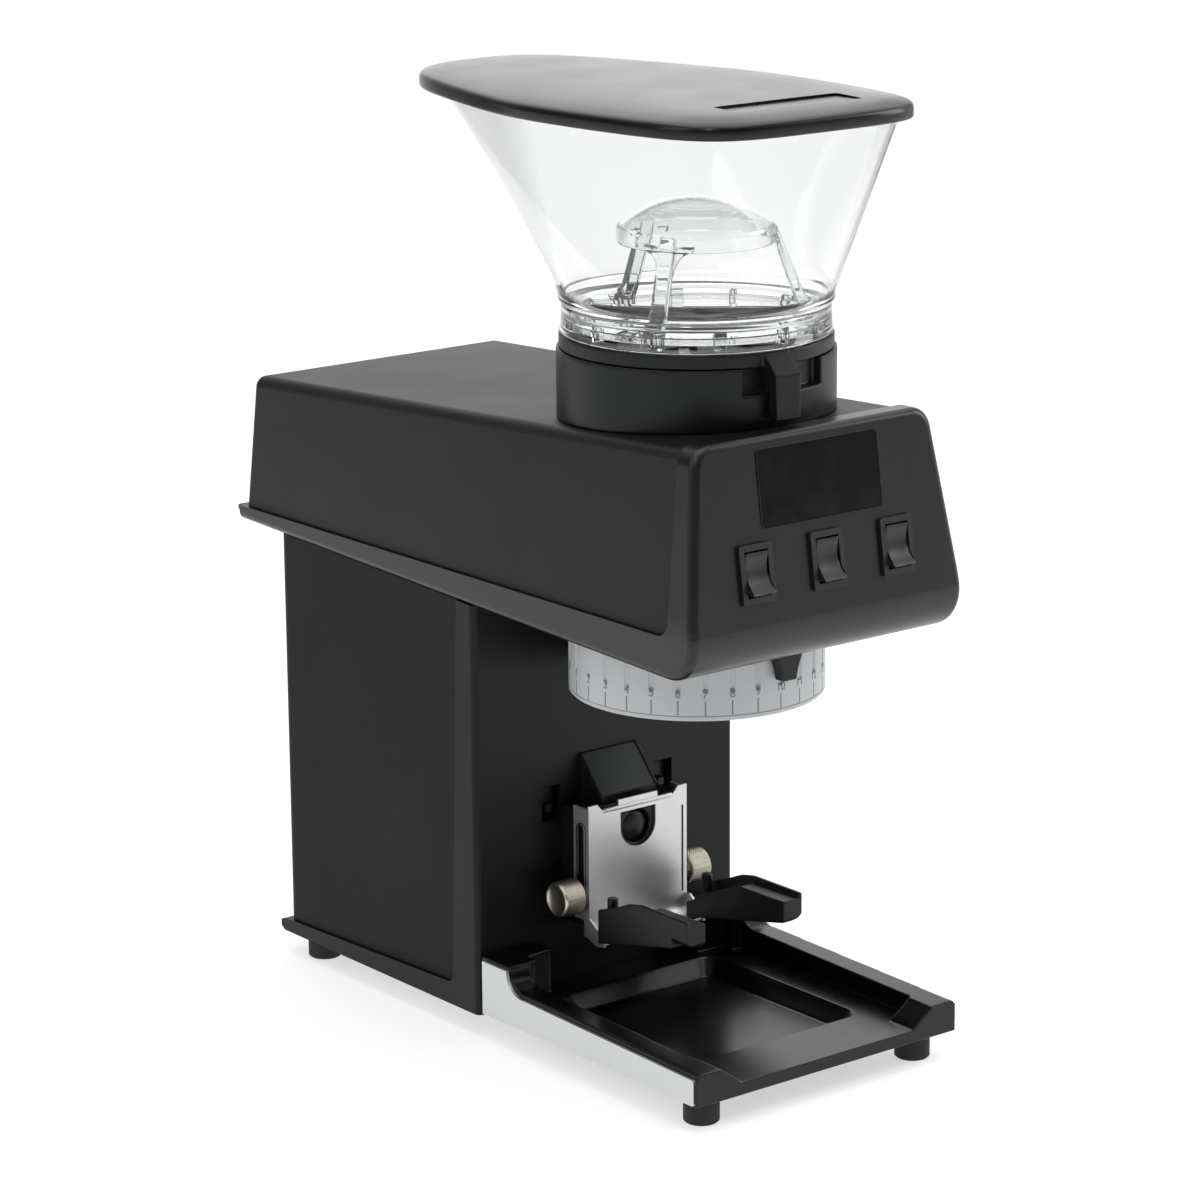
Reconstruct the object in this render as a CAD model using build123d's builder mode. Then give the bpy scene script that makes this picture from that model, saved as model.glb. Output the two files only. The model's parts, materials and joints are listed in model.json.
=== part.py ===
from build123d import *
import math
import os

os.makedirs("parts", exist_ok=True)

# ---------------------------------------------------------------------------
# Driving dimensions (mm).  +Z up, the front of the grinder faces -Y,
# origin at the middle of the footprint, on the surface it stands on.
# ---------------------------------------------------------------------------
AX = -106.7            # Y of the vertical hopper / burr axis

FOOT_H = 16.0          # rubber feet
FOOT_R = 10.5

BASE_HALF_W = 99.6     # tray base
TRAY_FRONT = -118.3    # from the burr axis
COL_HALF_W = 99.3      # column
COL_FRONT = 84.7       # from the burr axis
COL_REAR = 289.2
COL_BOTTOM = 14.0

HEAD_HALF_W = 101.0    # head
HEAD_SEAM = 285.0
HEAD_TOP_F = 391.0     # top of the front panel
PANEL_Y = -117.5       # front panel plane, at PANEL_Z
PANEL_Z = 288.0
PANEL_TILT = math.degrees(math.atan(0.1456))
UNDER_SLOPE = 0.0373   # underside of the head rises to the rear
TOP_SLOPE = -0.0495    # top of the head falls to the rear
WALL = 4.0             # castings
EDGE_R = 5.0           # edges of the head
SKIN = 3.0             # pressed covers

COLLAR_R = 80.5        # hopper seat
COLLAR_TOP = 422.5
GATE_R = 79.0
GATE_TOP = 430.8
NECK_R = 78.4          # hopper neck
HOP_BOTTOM = 431.1
HOP_NECK_TOP = 451.0
HOP_TOP = 556.0        # top of the sloping wall
HOP_RIM = 565.0        # upright rim inside the lid
HOP_HALF_W, HOP_Y0, HOP_Y1 = 90.0, -107.0, 197.0
LID_BOTTOM = 556.3
LID_TOP = 570.0
HOP_WALL = 3.0

RING_R = 74.9          # grind setting ring
RING_BOTTOM = 219.3
RING_TOP = 259.5

MOTOR_Y = 190.0        # motor axis, from the burr axis
BELT_Z0, BELT_Z1 = 276.0, 290.0
PULLEY_S = 34.0        # spindle pulley radius
PULLEY_M = 20.0        # motor pulley radius
BELT_T = 2.0

FORK_W = 37.8          # half width of the steel holder plate
FORK_Y = 55.3          # its front face, from the burr axis


def under(y):
    """Height of the underside of the head at a distance y behind the burr axis."""
    return 261.0 + (y + 75.0) * UNDER_SLOPE


def top(y):
    """Height of the top of the head cover at a distance y behind the burr axis."""
    return 383.6 + y * TOP_SLOPE


def side(points):
    """Side-view points, given from the burr axis, in the part's own frame."""
    return [(AX + y, z) for y, z in points]


_t = math.radians(PANEL_TILT)
PANEL = Plane(origin=(0, AX + PANEL_Y, PANEL_Z), x_dir=(1, 0, 0),
              z_dir=(0, -math.cos(_t), math.sin(_t)))

# ---------------------------------------------------------------------------
# Feet and base plate
# ---------------------------------------------------------------------------
FOOT_POS = [(-80.9, AX - 100.9), (80.9, AX - 100.9), (-84.0, AX + 268.0), (84.0, AX + 268.0)]

with BuildPart() as feet:
    with BuildSketch(Plane.XY):
        with Locations(*FOOT_POS):
            Circle(FOOT_R)
    extrude(amount=FOOT_H)
    chamfer(feet.edges().group_by(Axis.Z)[0], 1.0)
feet.part.label = "feet"
export_step(feet.part, "parts/feet.step")

# U-shaped steel plate: two prongs carry the tray, the rear carries the column
with BuildPart() as base_plate:
    with BuildSketch(Plane.XY.offset(FOOT_H)):
        with Locations((0, AX + 87.0)):
            Rectangle(190.0, 396.0)
        with Locations((0, AX - 16.0)):
            Rectangle(2 * (BASE_HALF_W - 2.0), 190.0)
        with Locations((0, AX - 30.0)):
            Rectangle(140.0, 180.0, mode=Mode.SUBTRACT)
        with Locations((0, AX + 190.0)):
            Rectangle(110.0, 110.0, mode=Mode.SUBTRACT)
    extrude(amount=3.0)
base_plate.part.label = "base_plate"
export_step(base_plate.part, "parts/base_plate.step")

# ---------------------------------------------------------------------------
# Column: front wall with foot rim, and the side and rear cover
# ---------------------------------------------------------------------------
COL_TOP_GAP = 0.2
with BuildPart() as column_frame:
    with BuildSketch(Plane.YZ) as col_sk:
        with BuildLine():
            Polyline(*side([
                (COL_FRONT, COL_BOTTOM), (COL_FRONT, under(COL_FRONT)), (101.2, under(101.2)),
                (110.7, 28.0), (290.0, 22.0), (294.0, 20.5), (294.0, 16.5), (290.5, COL_BOTTOM)]),
                close=True)
        make_face()
        fillet(col_sk.vertices().sort_by_distance((AX + 110.7, 28.0))[0], 5.0)
    extrude(amount=COL_HALF_W, both=True)
    fillet(column_frame.edges().filter_by(Axis.Z).group_by(Axis.Y)[0], 4.0)
    # room above the floor of the casting
    with BuildSketch(Plane.XY.offset(23.0)):
        with Locations((0, AX + 0.5 * (COL_FRONT + WALL + 286.0))):
            Rectangle(2 * (COL_HALF_W - WALL), 286.0 - COL_FRONT - WALL)
    extrude(amount=260.0, mode=Mode.SUBTRACT)
    # room below it for the base plate, open to the front
    with BuildSketch(Plane.XY.offset(COL_BOTTOM - 1)):
        with Locations((0, AX + 0.5 * (80.0 + 288.0))):
            Rectangle(2 * (COL_HALF_W - WALL), 208.0)
    extrude(amount=FOOT_H + 3.0 - COL_BOTTOM + 1.0, mode=Mode.SUBTRACT)
    # vent opening in the floor
    with BuildSketch(Plane.XY.offset(18.0)):
        with Locations((0, AX + 190.0)):
            Rectangle(110.0, 110.0)
    extrude(amount=8.0, mode=Mode.SUBTRACT)
    # two square windows beside the holder
    with BuildSketch(Plane.XZ.offset(-(AX + COL_FRONT))):
        with Locations((-43.0, 136.0), (43.0, 136.0)):
            Rectangle(14.5, 22.0)
    extrude(amount=6.0, both=True, mode=Mode.SUBTRACT)
column_frame.part.label = "column_frame"
export_step(column_frame.part, "parts/column_frame.step")

with BuildPart() as column_cover:
    with BuildSketch(Plane.YZ) as cc:
        with BuildLine():
            Polyline(*side([
                (101.8, under(101.8) - COL_TOP_GAP), (111.4, 28.4), (COL_REAR, 22.3),
                (COL_REAR, under(COL_REAR) - COL_TOP_GAP)]), close=True)
        make_face()
        fillet(cc.vertices().sort_by_distance((AX + 111.4, 28.4))[0], 5.2)
    extrude(amount=COL_HALF_W - 2.0, both=True)
    fillet(column_cover.edges().filter_by(Axis.Z).group_by(Axis.Y)[-1], 9.0)
    with BuildSketch(Plane.XY.offset(15.0)) as col_in:
        with Locations((0, AX + 0.5 * (90.0 + COL_REAR - SKIN))):
            Rectangle(2 * (COL_HALF_W - 2.0 - SKIN), COL_REAR - SKIN - 90.0)
        fillet(col_in.vertices().group_by(Axis.Y)[-1], 6.0)
    extrude(amount=270.0, mode=Mode.SUBTRACT)
    # opening for the mains inlet
    with BuildSketch(Plane.XZ.offset(-(AX + COL_REAR))):
        with Locations((0, 62.0)):
            Rectangle(28.4, 20.8)
    extrude(amount=10.0, both=True, mode=Mode.SUBTRACT)
    # row of vent slots high on the rear wall
    with BuildSketch(Plane.XZ.offset(-(AX + COL_REAR))):
        with GridLocations(12.0, 0.0, 9, 1):
            with Locations((0, 215.0)):
                SlotOverall(44.0, 4.0, rotation=90)
    extrude(amount=10.0, both=True, mode=Mode.SUBTRACT)
column_cover.part.label = "column_cover"
export_step(column_cover.part, "parts/column_cover.step")

with BuildPart() as power_inlet:
    with BuildSketch(Plane.XZ.offset(-(AX + COL_REAR))):
        with Locations((0, 62.0)):
            RectangleRounded(38.0, 29.0, 4.0)
    extrude(amount=-2.5)
    with BuildSketch(Plane.XZ.offset(-(AX + COL_REAR))):
        with Locations((0, 62.0)):
            RectangleRounded(28.0, 20.4, 3.0)
    extrude(amount=24.0)
    with BuildSketch(Plane.XZ.offset(-(AX + COL_REAR + 2.5))) as inl:
        with Locations((0, 62.0)):
            RectangleRounded(24.0, 16.5, 3.0)
    extrude(amount=18.0, mode=Mode.SUBTRACT)
    with BuildSketch(Plane.XZ.offset(-(AX + COL_REAR - 16.0))):
        with Locations((-7.0, 60.5), (0.0, 64.5), (7.0, 60.5)):
            Rectangle(2.0, 4.0)
    extrude(amount=-14.0)
power_inlet.part.label = "power_inlet"
export_step(power_inlet.part, "parts/power_inlet.step")

# ---------------------------------------------------------------------------
# Head: casting (front panel and underside) and its cover
# ---------------------------------------------------------------------------
CORNER = (-121.6, under(-121.6))
with BuildPart() as head_room:
    # inner space of the casting
    with BuildSketch(Plane.YZ) as hr:
        with BuildLine():
            Polyline(*side([
                (-98.3, 387.0), (-117.0, CORNER[1] + WALL + 0.4), (323.0, under(323.0) + WALL),
                (323.0, 420.0), (-98.3, 420.0)]), close=True)
        make_face()
        fillet(hr.vertices().sort_by_distance((AX - 117.0, CORNER[1] + WALL + 0.4))[0], 20.0)
    extrude(amount=120.0, both=True)
    with BuildSketch(Plane.XZ) as hr2:
        with BuildLine():
            Polyline((-96.4, 250.0), (-97.0, 290.0), (-82.8, 387.0), (82.8, 387.0), (97.0, 290.0),
                     (96.4, 250.0), close=True)
        make_face()
        fillet(hr2.vertices().group_by(Axis.Y)[-1], 10.0)
    extrude(amount=400.0, both=True, mode=Mode.INTERSECT)

with BuildPart() as head_frame:
    with BuildSketch(Plane.YZ) as hf:
        with BuildLine():
            Polyline(*side([
                (-102.5, HEAD_TOP_F), CORNER, (326.0, under(326.0)), (326.0, HEAD_SEAM),
                (-96.5, HEAD_SEAM), (-88.9, HEAD_TOP_F)]), close=True)
        make_face()
        fillet(hf.vertices().sort_by_distance((AX + CORNER[0], CORNER[1]))[0], 24.0)
        fillet(hf.vertices().sort_by_distance((AX - 96.5, HEAD_SEAM))[0], 9.0)
    extrude(amount=120.0, both=True)
    with BuildSketch(Plane.XZ) as hf2:
        with BuildLine():
            Polyline((-100.2, 250.0), (-HEAD_HALF_W, 290.0), (-86.8, HEAD_TOP_F),
                     (86.8, HEAD_TOP_F), (HEAD_HALF_W, 290.0), (100.2, 250.0), close=True)
        make_face()
        fillet(hf2.vertices().group_by(Axis.Y)[-1], 13.0)
        fillet([v for v in hf2.vertices() if abs(abs(v.X) - HEAD_HALF_W) < 0.01], 90.0)
    extrude(amount=400.0, both=True, mode=Mode.INTERSECT)
    # soft edges round the front panel and along the underside
    _panel = head_frame.faces().filter_by(lambda f: f.center().Y < AX - 105.0).sort_by(SortBy.AREA)[-1]
    fillet(_panel.edges().sort_by(Axis.Z)[1:], EDGE_R)
    add(head_room.part, mode=Mode.SUBTRACT)
    # lip along the rear edge
    with BuildSketch(Plane.YZ):
        with BuildLine():
            Polyline(*side([
                (324.5, 279.0), (328.0, 279.6), (331.7, 281.8), (331.7, 283.8), (329.5, HEAD_SEAM),
                (324.5, HEAD_SEAM)]), close=True)
        make_face()
    extrude(amount=98.0, both=True)
    # display and switch openings in the panel
    with BuildSketch(PANEL):
        with Locations((0, 75.3)):
            RectangleRounded(88.0, 43.0, 2.0)
        with Locations((-52.0, 29.6), (0, 29.6), (52.0, 29.6)):
            Rectangle(20.4, 29.4)
    extrude(amount=14.0, both=True, mode=Mode.SUBTRACT)
    # opening for the grinding chamber, and one for the motor shaft
    with BuildSketch(Plane.XY.offset(240.0)):
        with Locations((0, AX)):
            Circle(62.0)
        with Locations((0, AX + MOTOR_Y)):
            Circle(30.0)
    extrude(amount=44.0, mode=Mode.SUBTRACT)
head_frame.part.label = "head_frame"
export_step(head_frame.part, "parts/head_frame.step")

_ru = (0, -8.0 / 83.2, 82.8 / 83.2)
REAR_CUT = Plane(origin=(0, AX + 323.0, HEAD_SEAM + 0.2), x_dir=(1, 0, 0),
                 z_dir=(0, -_ru[2], _ru[1]))
_fl = math.hypot(7.0, 102.9)
_fu = (0, 7.0 / _fl, 102.9 / _fl)
FRONT_CUT = Plane(origin=(0, AX - 95.9, HEAD_SEAM + 0.2), x_dir=(1, 0, 0),
                  z_dir=(0, -_fu[2], _fu[1]))
REAR_H = (top(315.0) - HEAD_SEAM - 0.2) / _ru[2]
FRONT_H = (top(-88.9) - HEAD_SEAM - 0.2) / _fu[2]

with BuildPart() as cover_room:
    with BuildSketch(REAR_CUT.offset(SKIN)) as cr1:
        with BuildLine():
            Polyline((-95.3, -4.0), (-91.8, REAR_H - SKIN), (91.8, REAR_H - SKIN), (95.3, -4.0), close=True)
        make_face()
        fillet(cr1.vertices().group_by(Axis.Y)[-1], 4.0)
    with BuildSketch(FRONT_CUT.offset(4.0)) as cr2:
        with BuildLine():
            Polyline((-95.4, -4.0), (-82.8, FRONT_H - SKIN), (82.8, FRONT_H - SKIN), (95.4, -4.0), close=True)
        make_face()
        fillet(cr2.vertices().group_by(Axis.Y)[-1], 4.0)
    loft(ruled=True)

with BuildPart() as head_cover:
    with BuildSketch(REAR_CUT) as hc1:
        with BuildLine():
            Polyline((-98.3, 0), (-94.8, REAR_H), (94.8, REAR_H), (98.3, 0), close=True)
        make_face()
        fillet(hc1.vertices().group_by(Axis.Y)[-1], 7.0)
    with BuildSketch(FRONT_CUT) as hc2:
        with BuildLine():
            Polyline((-98.4, 0), (-85.8, FRONT_H), (85.8, FRONT_H), (98.4, 0), close=True)
        make_face()
        fillet(hc2.vertices().group_by(Axis.Y)[-1], 7.0)
    loft(ruled=True)
    _rear = head_cover.faces().sort_by(Axis.Y)[-1]
    fillet(_rear.edges().sort_by(Axis.Z)[1:], EDGE_R)
    add(cover_room.part, mode=Mode.SUBTRACT)
    # the lower front corner follows the rounded inner corner of the casting
    with BuildSketch(Plane.YZ):
        with Locations((AX - 92.0, 290.0)):
            Rectangle(12.4, 12.4)
        with Locations((AX - 85.8, 295.2)):
            Circle(9.6, mode=Mode.SUBTRACT)
        with Locations((AX - 85.8, 302.2)):
            Rectangle(9.6, 14.0, mode=Mode.SUBTRACT)
    extrude(amount=110.0, both=True, mode=Mode.SUBTRACT)
    with BuildSketch(Plane.XY.offset(350.0)):
        with Locations((0, AX)):
            Circle(72.0)
    extrude(amount=60.0, mode=Mode.SUBTRACT)
head_cover.part.label = "head_cover"
export_step(head_cover.part, "parts/head_cover.step")

# ---------------------------------------------------------------------------
# Front panel fittings
# ---------------------------------------------------------------------------
with BuildPart() as display_window:
    with BuildSketch(PANEL.offset(-3.0)):
        with Locations((0, 75.3)):
            RectangleRounded(87.6, 42.6, 1.9)
    extrude(amount=3.6)
display_window.part.label = "display_window"
export_step(display_window.part, "parts/display_window.step")

with BuildPart() as display_board:
    with BuildSketch(PANEL.offset(-9.0)):
        with Locations((0, 73.0)):
            Rectangle(96.0, 40.0)
    extrude(amount=1.6)
    with BuildSketch(PANEL.offset(-7.4)):
        with Locations((0, 73.0)):
            Rectangle(76.0, 30.0)
    extrude(amount=3.0)
display_board.part.label = "display_board"
export_step(display_board.part, "parts/display_board.step")

SWITCH_X = [-52.0, 0.0, 52.0]
SWITCH_S = 29.6
BEZEL_W, BEZEL_H = 23.8, 33.2
with BuildPart() as switch_bezels:
    with BuildSketch(PANEL):
        with Locations(*[(x, SWITCH_S) for x in SWITCH_X]):
            RectangleRounded(BEZEL_W, BEZEL_H, 1.4)
            Rectangle(17.0, 26.0, mode=Mode.SUBTRACT)
    extrude(amount=2.2)
    # sleeve of each switch, through the panel
    with BuildSketch(PANEL.offset(-16.0)):
        with Locations(*[(x, SWITCH_S) for x in SWITCH_X]):
            Rectangle(20.0, 29.0)
            Rectangle(17.0, 26.0, mode=Mode.SUBTRACT)
    extrude(amount=16.0)
switch_bezels.part.label = "switch_bezels"
export_step(switch_bezels.part, "parts/switch_bezels.step")

with BuildPart() as switch_bodies:
    with BuildSketch(PANEL.offset(-26.0)):
        with Locations(*[(x, SWITCH_S) for x in SWITCH_X]):
            Rectangle(20.0, 29.0)
    extrude(amount=10.0)
    with BuildSketch(PANEL.offset(-33.0)):
        with Locations(*[(x + dx, SWITCH_S + dz) for x in SWITCH_X for dx in (-5, 5) for dz in (-8, 0, 8)]):
            Rectangle(0.8, 4.8)
    extrude(amount=7.0)
switch_bodies.part.label = "switch_bodies"
export_step(switch_bodies.part, "parts/switch_bodies.step")

# rocker paddles: a shallow V seen from the side, pivoting across the bezel
PIVOT_N = -6.0         # pivot behind the panel plane
ROCKER_W = 16.2
for name, x in (("rocker_left", -52.0), ("rocker_middle", 0.0), ("rocker_right", 52.0)):
    section = Plane(origin=PANEL.from_local_coords((x, SWITCH_S, 0)), x_dir=PANEL.y_dir,
                    z_dir=(-1, 0, 0))
    # local x runs up the panel, local y runs into the head
    with BuildPart() as rocker:
        with BuildSketch(section) as rk:
            with BuildLine():
                Polyline((-11.4, 9.0), (-11.4, -3.6), (-9.4, -4.4), (0.0, -1.2), (9.4, -2.2),
                         (11.4, -1.4), (11.4, 9.0), (6.0, 11.0), (-6.0, 11.0), close=True)
            make_face()
            fillet(rk.vertices().sort_by_distance((0.0, -1.2))[0], 14.0)
            with Locations((0.0, -PIVOT_N)):
                Circle(1.6, mode=Mode.SUBTRACT)
        extrude(amount=ROCKER_W / 2, both=True)
        fillet(rocker.faces().sort_by(Axis.Y)[:1].edges().filter_by(Axis.X), 0.4)
    rocker.part.label = name
    export_step(rocker.part, "parts/" + name + ".step")

with BuildPart() as rocker_pins:
    for x in SWITCH_X:
        pin_plane = Plane(origin=PANEL.from_local_coords((x, SWITCH_S, PIVOT_N)), x_dir=PANEL.y_dir,
                          z_dir=(1, 0, 0))
        with BuildSketch(pin_plane):
            Circle(1.5)
        extrude(amount=8.5, both=True)
rocker_pins.part.label = "rocker_pins"
export_step(rocker_pins.part, "parts/rocker_pins.step")

# ---------------------------------------------------------------------------
# Hopper seat, gate and hopper
# ---------------------------------------------------------------------------
TOP_PLANE = Plane(origin=(0, AX, top(0.0) + 0.15), x_dir=(1, 0, 0), z_dir=(0, -TOP_SLOPE, 1))
NOTCH_A0, NOTCH_A1 = -21.0, 21.0
NOTCH_Z = 407.5
with BuildPart() as hopper_collar:
    with BuildSketch(Plane.XY.offset(370.0)):
        with Locations((0, AX)):
            Circle(COLLAR_R)
            Circle(70.0, mode=Mode.SUBTRACT)
    extrude(amount=COLLAR_TOP - 370.0)
    split(bisect_by=TOP_PLANE, keep=Keep.TOP)
    # ledge inside that carries the throat plate
    with BuildSketch(Plane.XY.offset(408.0)):
        with Locations((0, AX)):
            Circle(71.0)
            Circle(62.0, mode=Mode.SUBTRACT)
    extrude(amount=6.0)
    # notch for the lever, at the front
    with BuildSketch(Plane.XY.offset(NOTCH_Z)):
        with BuildLine():
            a0, a1 = math.radians(NOTCH_A0), math.radians(NOTCH_A1)
            Polyline((75.0 * math.sin(a0), AX - 75.0 * math.cos(a0)), (90.0 * math.sin(a0), AX - 90.0 * math.cos(a0)),
                     (0, AX - 96.0), (90.0 * math.sin(a1), AX - 90.0 * math.cos(a1)),
                     (75.0 * math.sin(a1), AX - 75.0 * math.cos(a1)), (0, AX - 75.0), close=True)
        make_face()
    extrude(amount=40.0, mode=Mode.SUBTRACT)
hopper_collar.part.label = "hopper_collar"
export_step(hopper_collar.part, "parts/hopper_collar.step")

WINDOWS = 6
LEVER_A = 5.5          # the gate lever stands a little left of the middle
with BuildPart() as throat_plate:
    with BuildSketch(Plane.XY.offset(414.0)):
        with Locations((0, AX)):
            Circle(69.8)
    extrude(amount=3.0)
    with BuildSketch(Plane.XY.offset(414.0)) as tp:
        with BuildLine():
            b = math.radians(12.0)
            p0 = (18.0 * math.sin(-b), AX - 18.0 * math.cos(b))
            p1 = (58.0 * math.sin(-b), AX - 58.0 * math.cos(b))
            p2 = (58.0 * math.sin(b), AX - 58.0 * math.cos(b))
            p3 = (18.0 * math.sin(b), AX - 18.0 * math.cos(b))
            Polyline(p0, p1, p2, p3, close=True)
        make_face()
        with Locations(*[Location((0, AX, 0)) * Location((0, 0, 0), (0, 0, 60.0 * k)) * Location((0, -AX, 0)) for k in range(1, WINDOWS)]):
            Polygon(p0, p1, p2, p3, align=None)
    extrude(amount=3.0, mode=Mode.SUBTRACT)
throat_plate.part.label = "throat_plate"
export_step(throat_plate.part, "parts/throat_plate.step")

with BuildPart() as gate_ring:
    with BuildSketch(Plane.XY.offset(COLLAR_TOP + 0.4)):
        with Locations((0, AX)):
            Circle(GATE_R)
            Circle(66.0, mode=Mode.SUBTRACT)
    extrude(amount=GATE_TOP - COLLAR_TOP - 0.4)
    # lever: comes out over the collar, then hangs in front of it
    _lv = math.radians(LEVER_A)
    with BuildSketch(Plane(origin=(0, AX, 0), x_dir=(-math.sin(_lv), -math.cos(_lv), 0),
                           z_dir=(-math.cos(_lv), math.sin(_lv), 0))) as lv:
        with BuildLine():
            Polyline((74.0, 430.6), (79.5, 430.4), (91.0, 419.5), (91.6, 393.8), (84.0, 393.8),
                     (83.2, 409.0), (74.0, 424.0), close=True)
        make_face()
    extrude(amount=8.2, both=True)
gate_ring.part.label = "gate_ring"
export_step(gate_ring.part, "parts/gate_ring.step")

with BuildPart() as gate_shutter:
    with BuildSketch(Plane.XY.offset(COLLAR_TOP + 0.4)) as gs:
        with Locations((0, AX)):
            Circle(65.9)
        with Locations(*[Location((0, AX, 0)) * Location((0, 0, 0), (0, 0, 60.0 * k + 9.0)) * Location((0, -AX, 0)) for k in range(WINDOWS)]):
            Polygon(p0, p1, p2, p3, align=None, mode=Mode.SUBTRACT)
    extrude(amount=2.0)
gate_shutter.part.label = "gate_shutter"
export_step(gate_shutter.part, "parts/gate_shutter.step")

LID_HALF = [(0, -114.2), (23.4, -114.0), (46.5, -112.4), (67.6, -105.6), (82.2, -89.3), (89.6, -66.5),
            (93.2, -43.0), (95.4, -19.5), (96.7, 3.8), (97.0, 27.2), (95.6, 50.5), (91.9, 73.6),
            (86.8, 96.4), (80.8, 119.0), (74.2, 141.7), (66.8, 164.0), (57.0, 185.8), (42.8, 204.2),
            (23.0, 214.8), (0, 216.8)]
LID_HALF_W, LID_Y0, LID_Y1 = 97.0, -114.2, 216.8


def outline(half_w, y0, y1):
    """The lid's oval, scaled to a half width and to front and rear limits from the burr axis."""
    k = half_w / LID_HALF_W
    m = (y1 - y0) / (LID_Y1 - LID_Y0)
    right = [(x * k, AX + y0 + (y - LID_Y0) * m) for x, y in LID_HALF]
    left = [(-x, y) for x, y in right[-2:0:-1]]
    return right + left


def neck(r):
    """Points round the neck that pair up with the oval's points."""
    pts = []
    for x, y in outline(LID_HALF_W, LID_Y0, LID_Y1):
        a = math.atan2((y - AX - 0.5 * (LID_Y0 + LID_Y1)) / (0.5 * (LID_Y1 - LID_Y0)), x / LID_HALF_W)
        pts.append((r * math.cos(a), AX + r * math.sin(a)))
    return pts


with BuildPart() as hopper_room:
    for z, pts in ((HOP_BOTTOM + 4.0, neck(NECK_R - HOP_WALL)), (HOP_NECK_TOP + 0.8, neck(NECK_R - HOP_WALL)),
                   (HOP_TOP + 0.8, outline(HOP_HALF_W - 2.9, HOP_Y0 + 2.8, HOP_Y1 - 2.8)),
                   (HOP_RIM + 1.0, outline(HOP_HALF_W - 2.9, HOP_Y0 + 2.8, HOP_Y1 - 2.8))):
        with BuildSketch(Plane.XY.offset(z)):
            with BuildLine():
                Spline(*pts, periodic=True)
            make_face()
    loft(ruled=True)

with BuildPart() as hopper:
    for z, pts in ((HOP_BOTTOM, neck(NECK_R)), (HOP_NECK_TOP, neck(NECK_R)),
                   (HOP_TOP, outline(HOP_HALF_W, HOP_Y0, HOP_Y1)), (HOP_RIM, outline(HOP_HALF_W, HOP_Y0, HOP_Y1))):
        with BuildSketch(Plane.XY.offset(z)):
            with BuildLine():
                Spline(*pts, periodic=True)
            make_face()
    loft(ruled=True)
    add(hopper_room.part, mode=Mode.SUBTRACT)
    # opening in the foot of the neck
    with BuildSketch(Plane.XY.offset(HOP_BOTTOM - 1.0)):
        with Locations((0, AX)):
            Circle(64.0)
    extrude(amount=6.0, mode=Mode.SUBTRACT)
hopper.part.label = "hopper"
export_step(hopper.part, "parts/hopper.step")

# clear finger guard: a dome on three legs that stand on the foot of the neck
with BuildPart() as hopper_guard:
    with BuildSketch(Plane.XZ.offset(-AX)):
        with BuildLine():
            # both arcs are centred on the axis, so the dome is part of a sphere
            l1 = CenterArc((0, 441.5), 67.5, 90.0, -math.degrees(math.asin(45.0 / 67.5)))
            l2 = Polyline(l1 @ 1, (45.0, 482.6), (42.5, 482.6), (42.5, 440.0 + math.sqrt(66.5 ** 2 - 42.5 ** 2)))
            l3 = CenterArc((0, 440.0), 66.5, 90.0 - math.degrees(math.asin(42.5 / 66.5)), math.degrees(math.asin(42.5 / 66.5)))
            Line(l3 @ 1, l1 @ 0)
        make_face()
    revolve(axis=Axis((0, AX, 0), (0, 0, 1)))
    with BuildSketch(Plane.XZ.offset(-AX)):
        with BuildLine():
            Polyline((66.0, HOP_BOTTOM + 4.0), (74.0, HOP_BOTTOM + 4.0), (74.0, HOP_BOTTOM + 9.0),
                     (66.0, HOP_BOTTOM + 9.0), close=True)
        make_face()
    revolve(axis=Axis((0, AX, 0), (0, 0, 1)))
    for k in range(3):
        a = math.radians(90.0 + 120.0 * k)
        leg_plane = Plane(origin=(0, AX, 0), x_dir=(math.cos(a), math.sin(a), 0),
                          z_dir=(math.sin(a), -math.cos(a), 0))
        with BuildSketch(leg_plane):
            with BuildLine():
                Polyline((60.5, 436.0), (70.5, 436.0), (70.5, 442.5), (62.0, 451.5), (45.4, 491.0), (43.6, 491.0),
                         (43.6, 483.2), (57.0, 449.0), (60.5, 441.0), close=True)
            make_face()
        extrude(amount=4.6, both=True)
hopper_guard.part.label = "hopper_guard"
export_step(hopper_guard.part, "parts/hopper_guard.step")

with BuildPart() as hopper_lid:
    with BuildSketch(Plane.XY.offset(LID_BOTTOM)):
        with BuildLine():
            Spline(*outline(LID_HALF_W, LID_Y0, LID_Y1), periodic=True)
        make_face()
    extrude(amount=LID_TOP - LID_BOTTOM)
    fillet(hopper_lid.edges().group_by(Axis.Z)[-1], 5.0)
    fillet(hopper_lid.edges().group_by(Axis.Z)[0], 1.2)
    # room inside the skirt for the rim of the hopper
    with BuildSketch(Plane.XY.offset(LID_BOTTOM - 1.0)):
        with BuildLine():
            Spline(*outline(LID_HALF_W - 3.4, LID_Y0 + 3.2, LID_Y1 - 3.2), periodic=True)
        make_face()
    extrude(amount=HOP_RIM + 0.3 - LID_BOTTOM + 1.0, mode=Mode.SUBTRACT)
    # finger recess in the top
    with BuildSketch(Plane.XY.offset(LID_TOP - 1.4)) as recess:
        with Locations((0, AX - 79.0)):
            Rectangle(90.0, 22.0)
        fillet(recess.vertices(), 2.0)
    extrude(amount=5.0, mode=Mode.SUBTRACT)
hopper_lid.part.label = "hopper_lid"
export_step(hopper_lid.part, "parts/hopper_lid.step")

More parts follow.
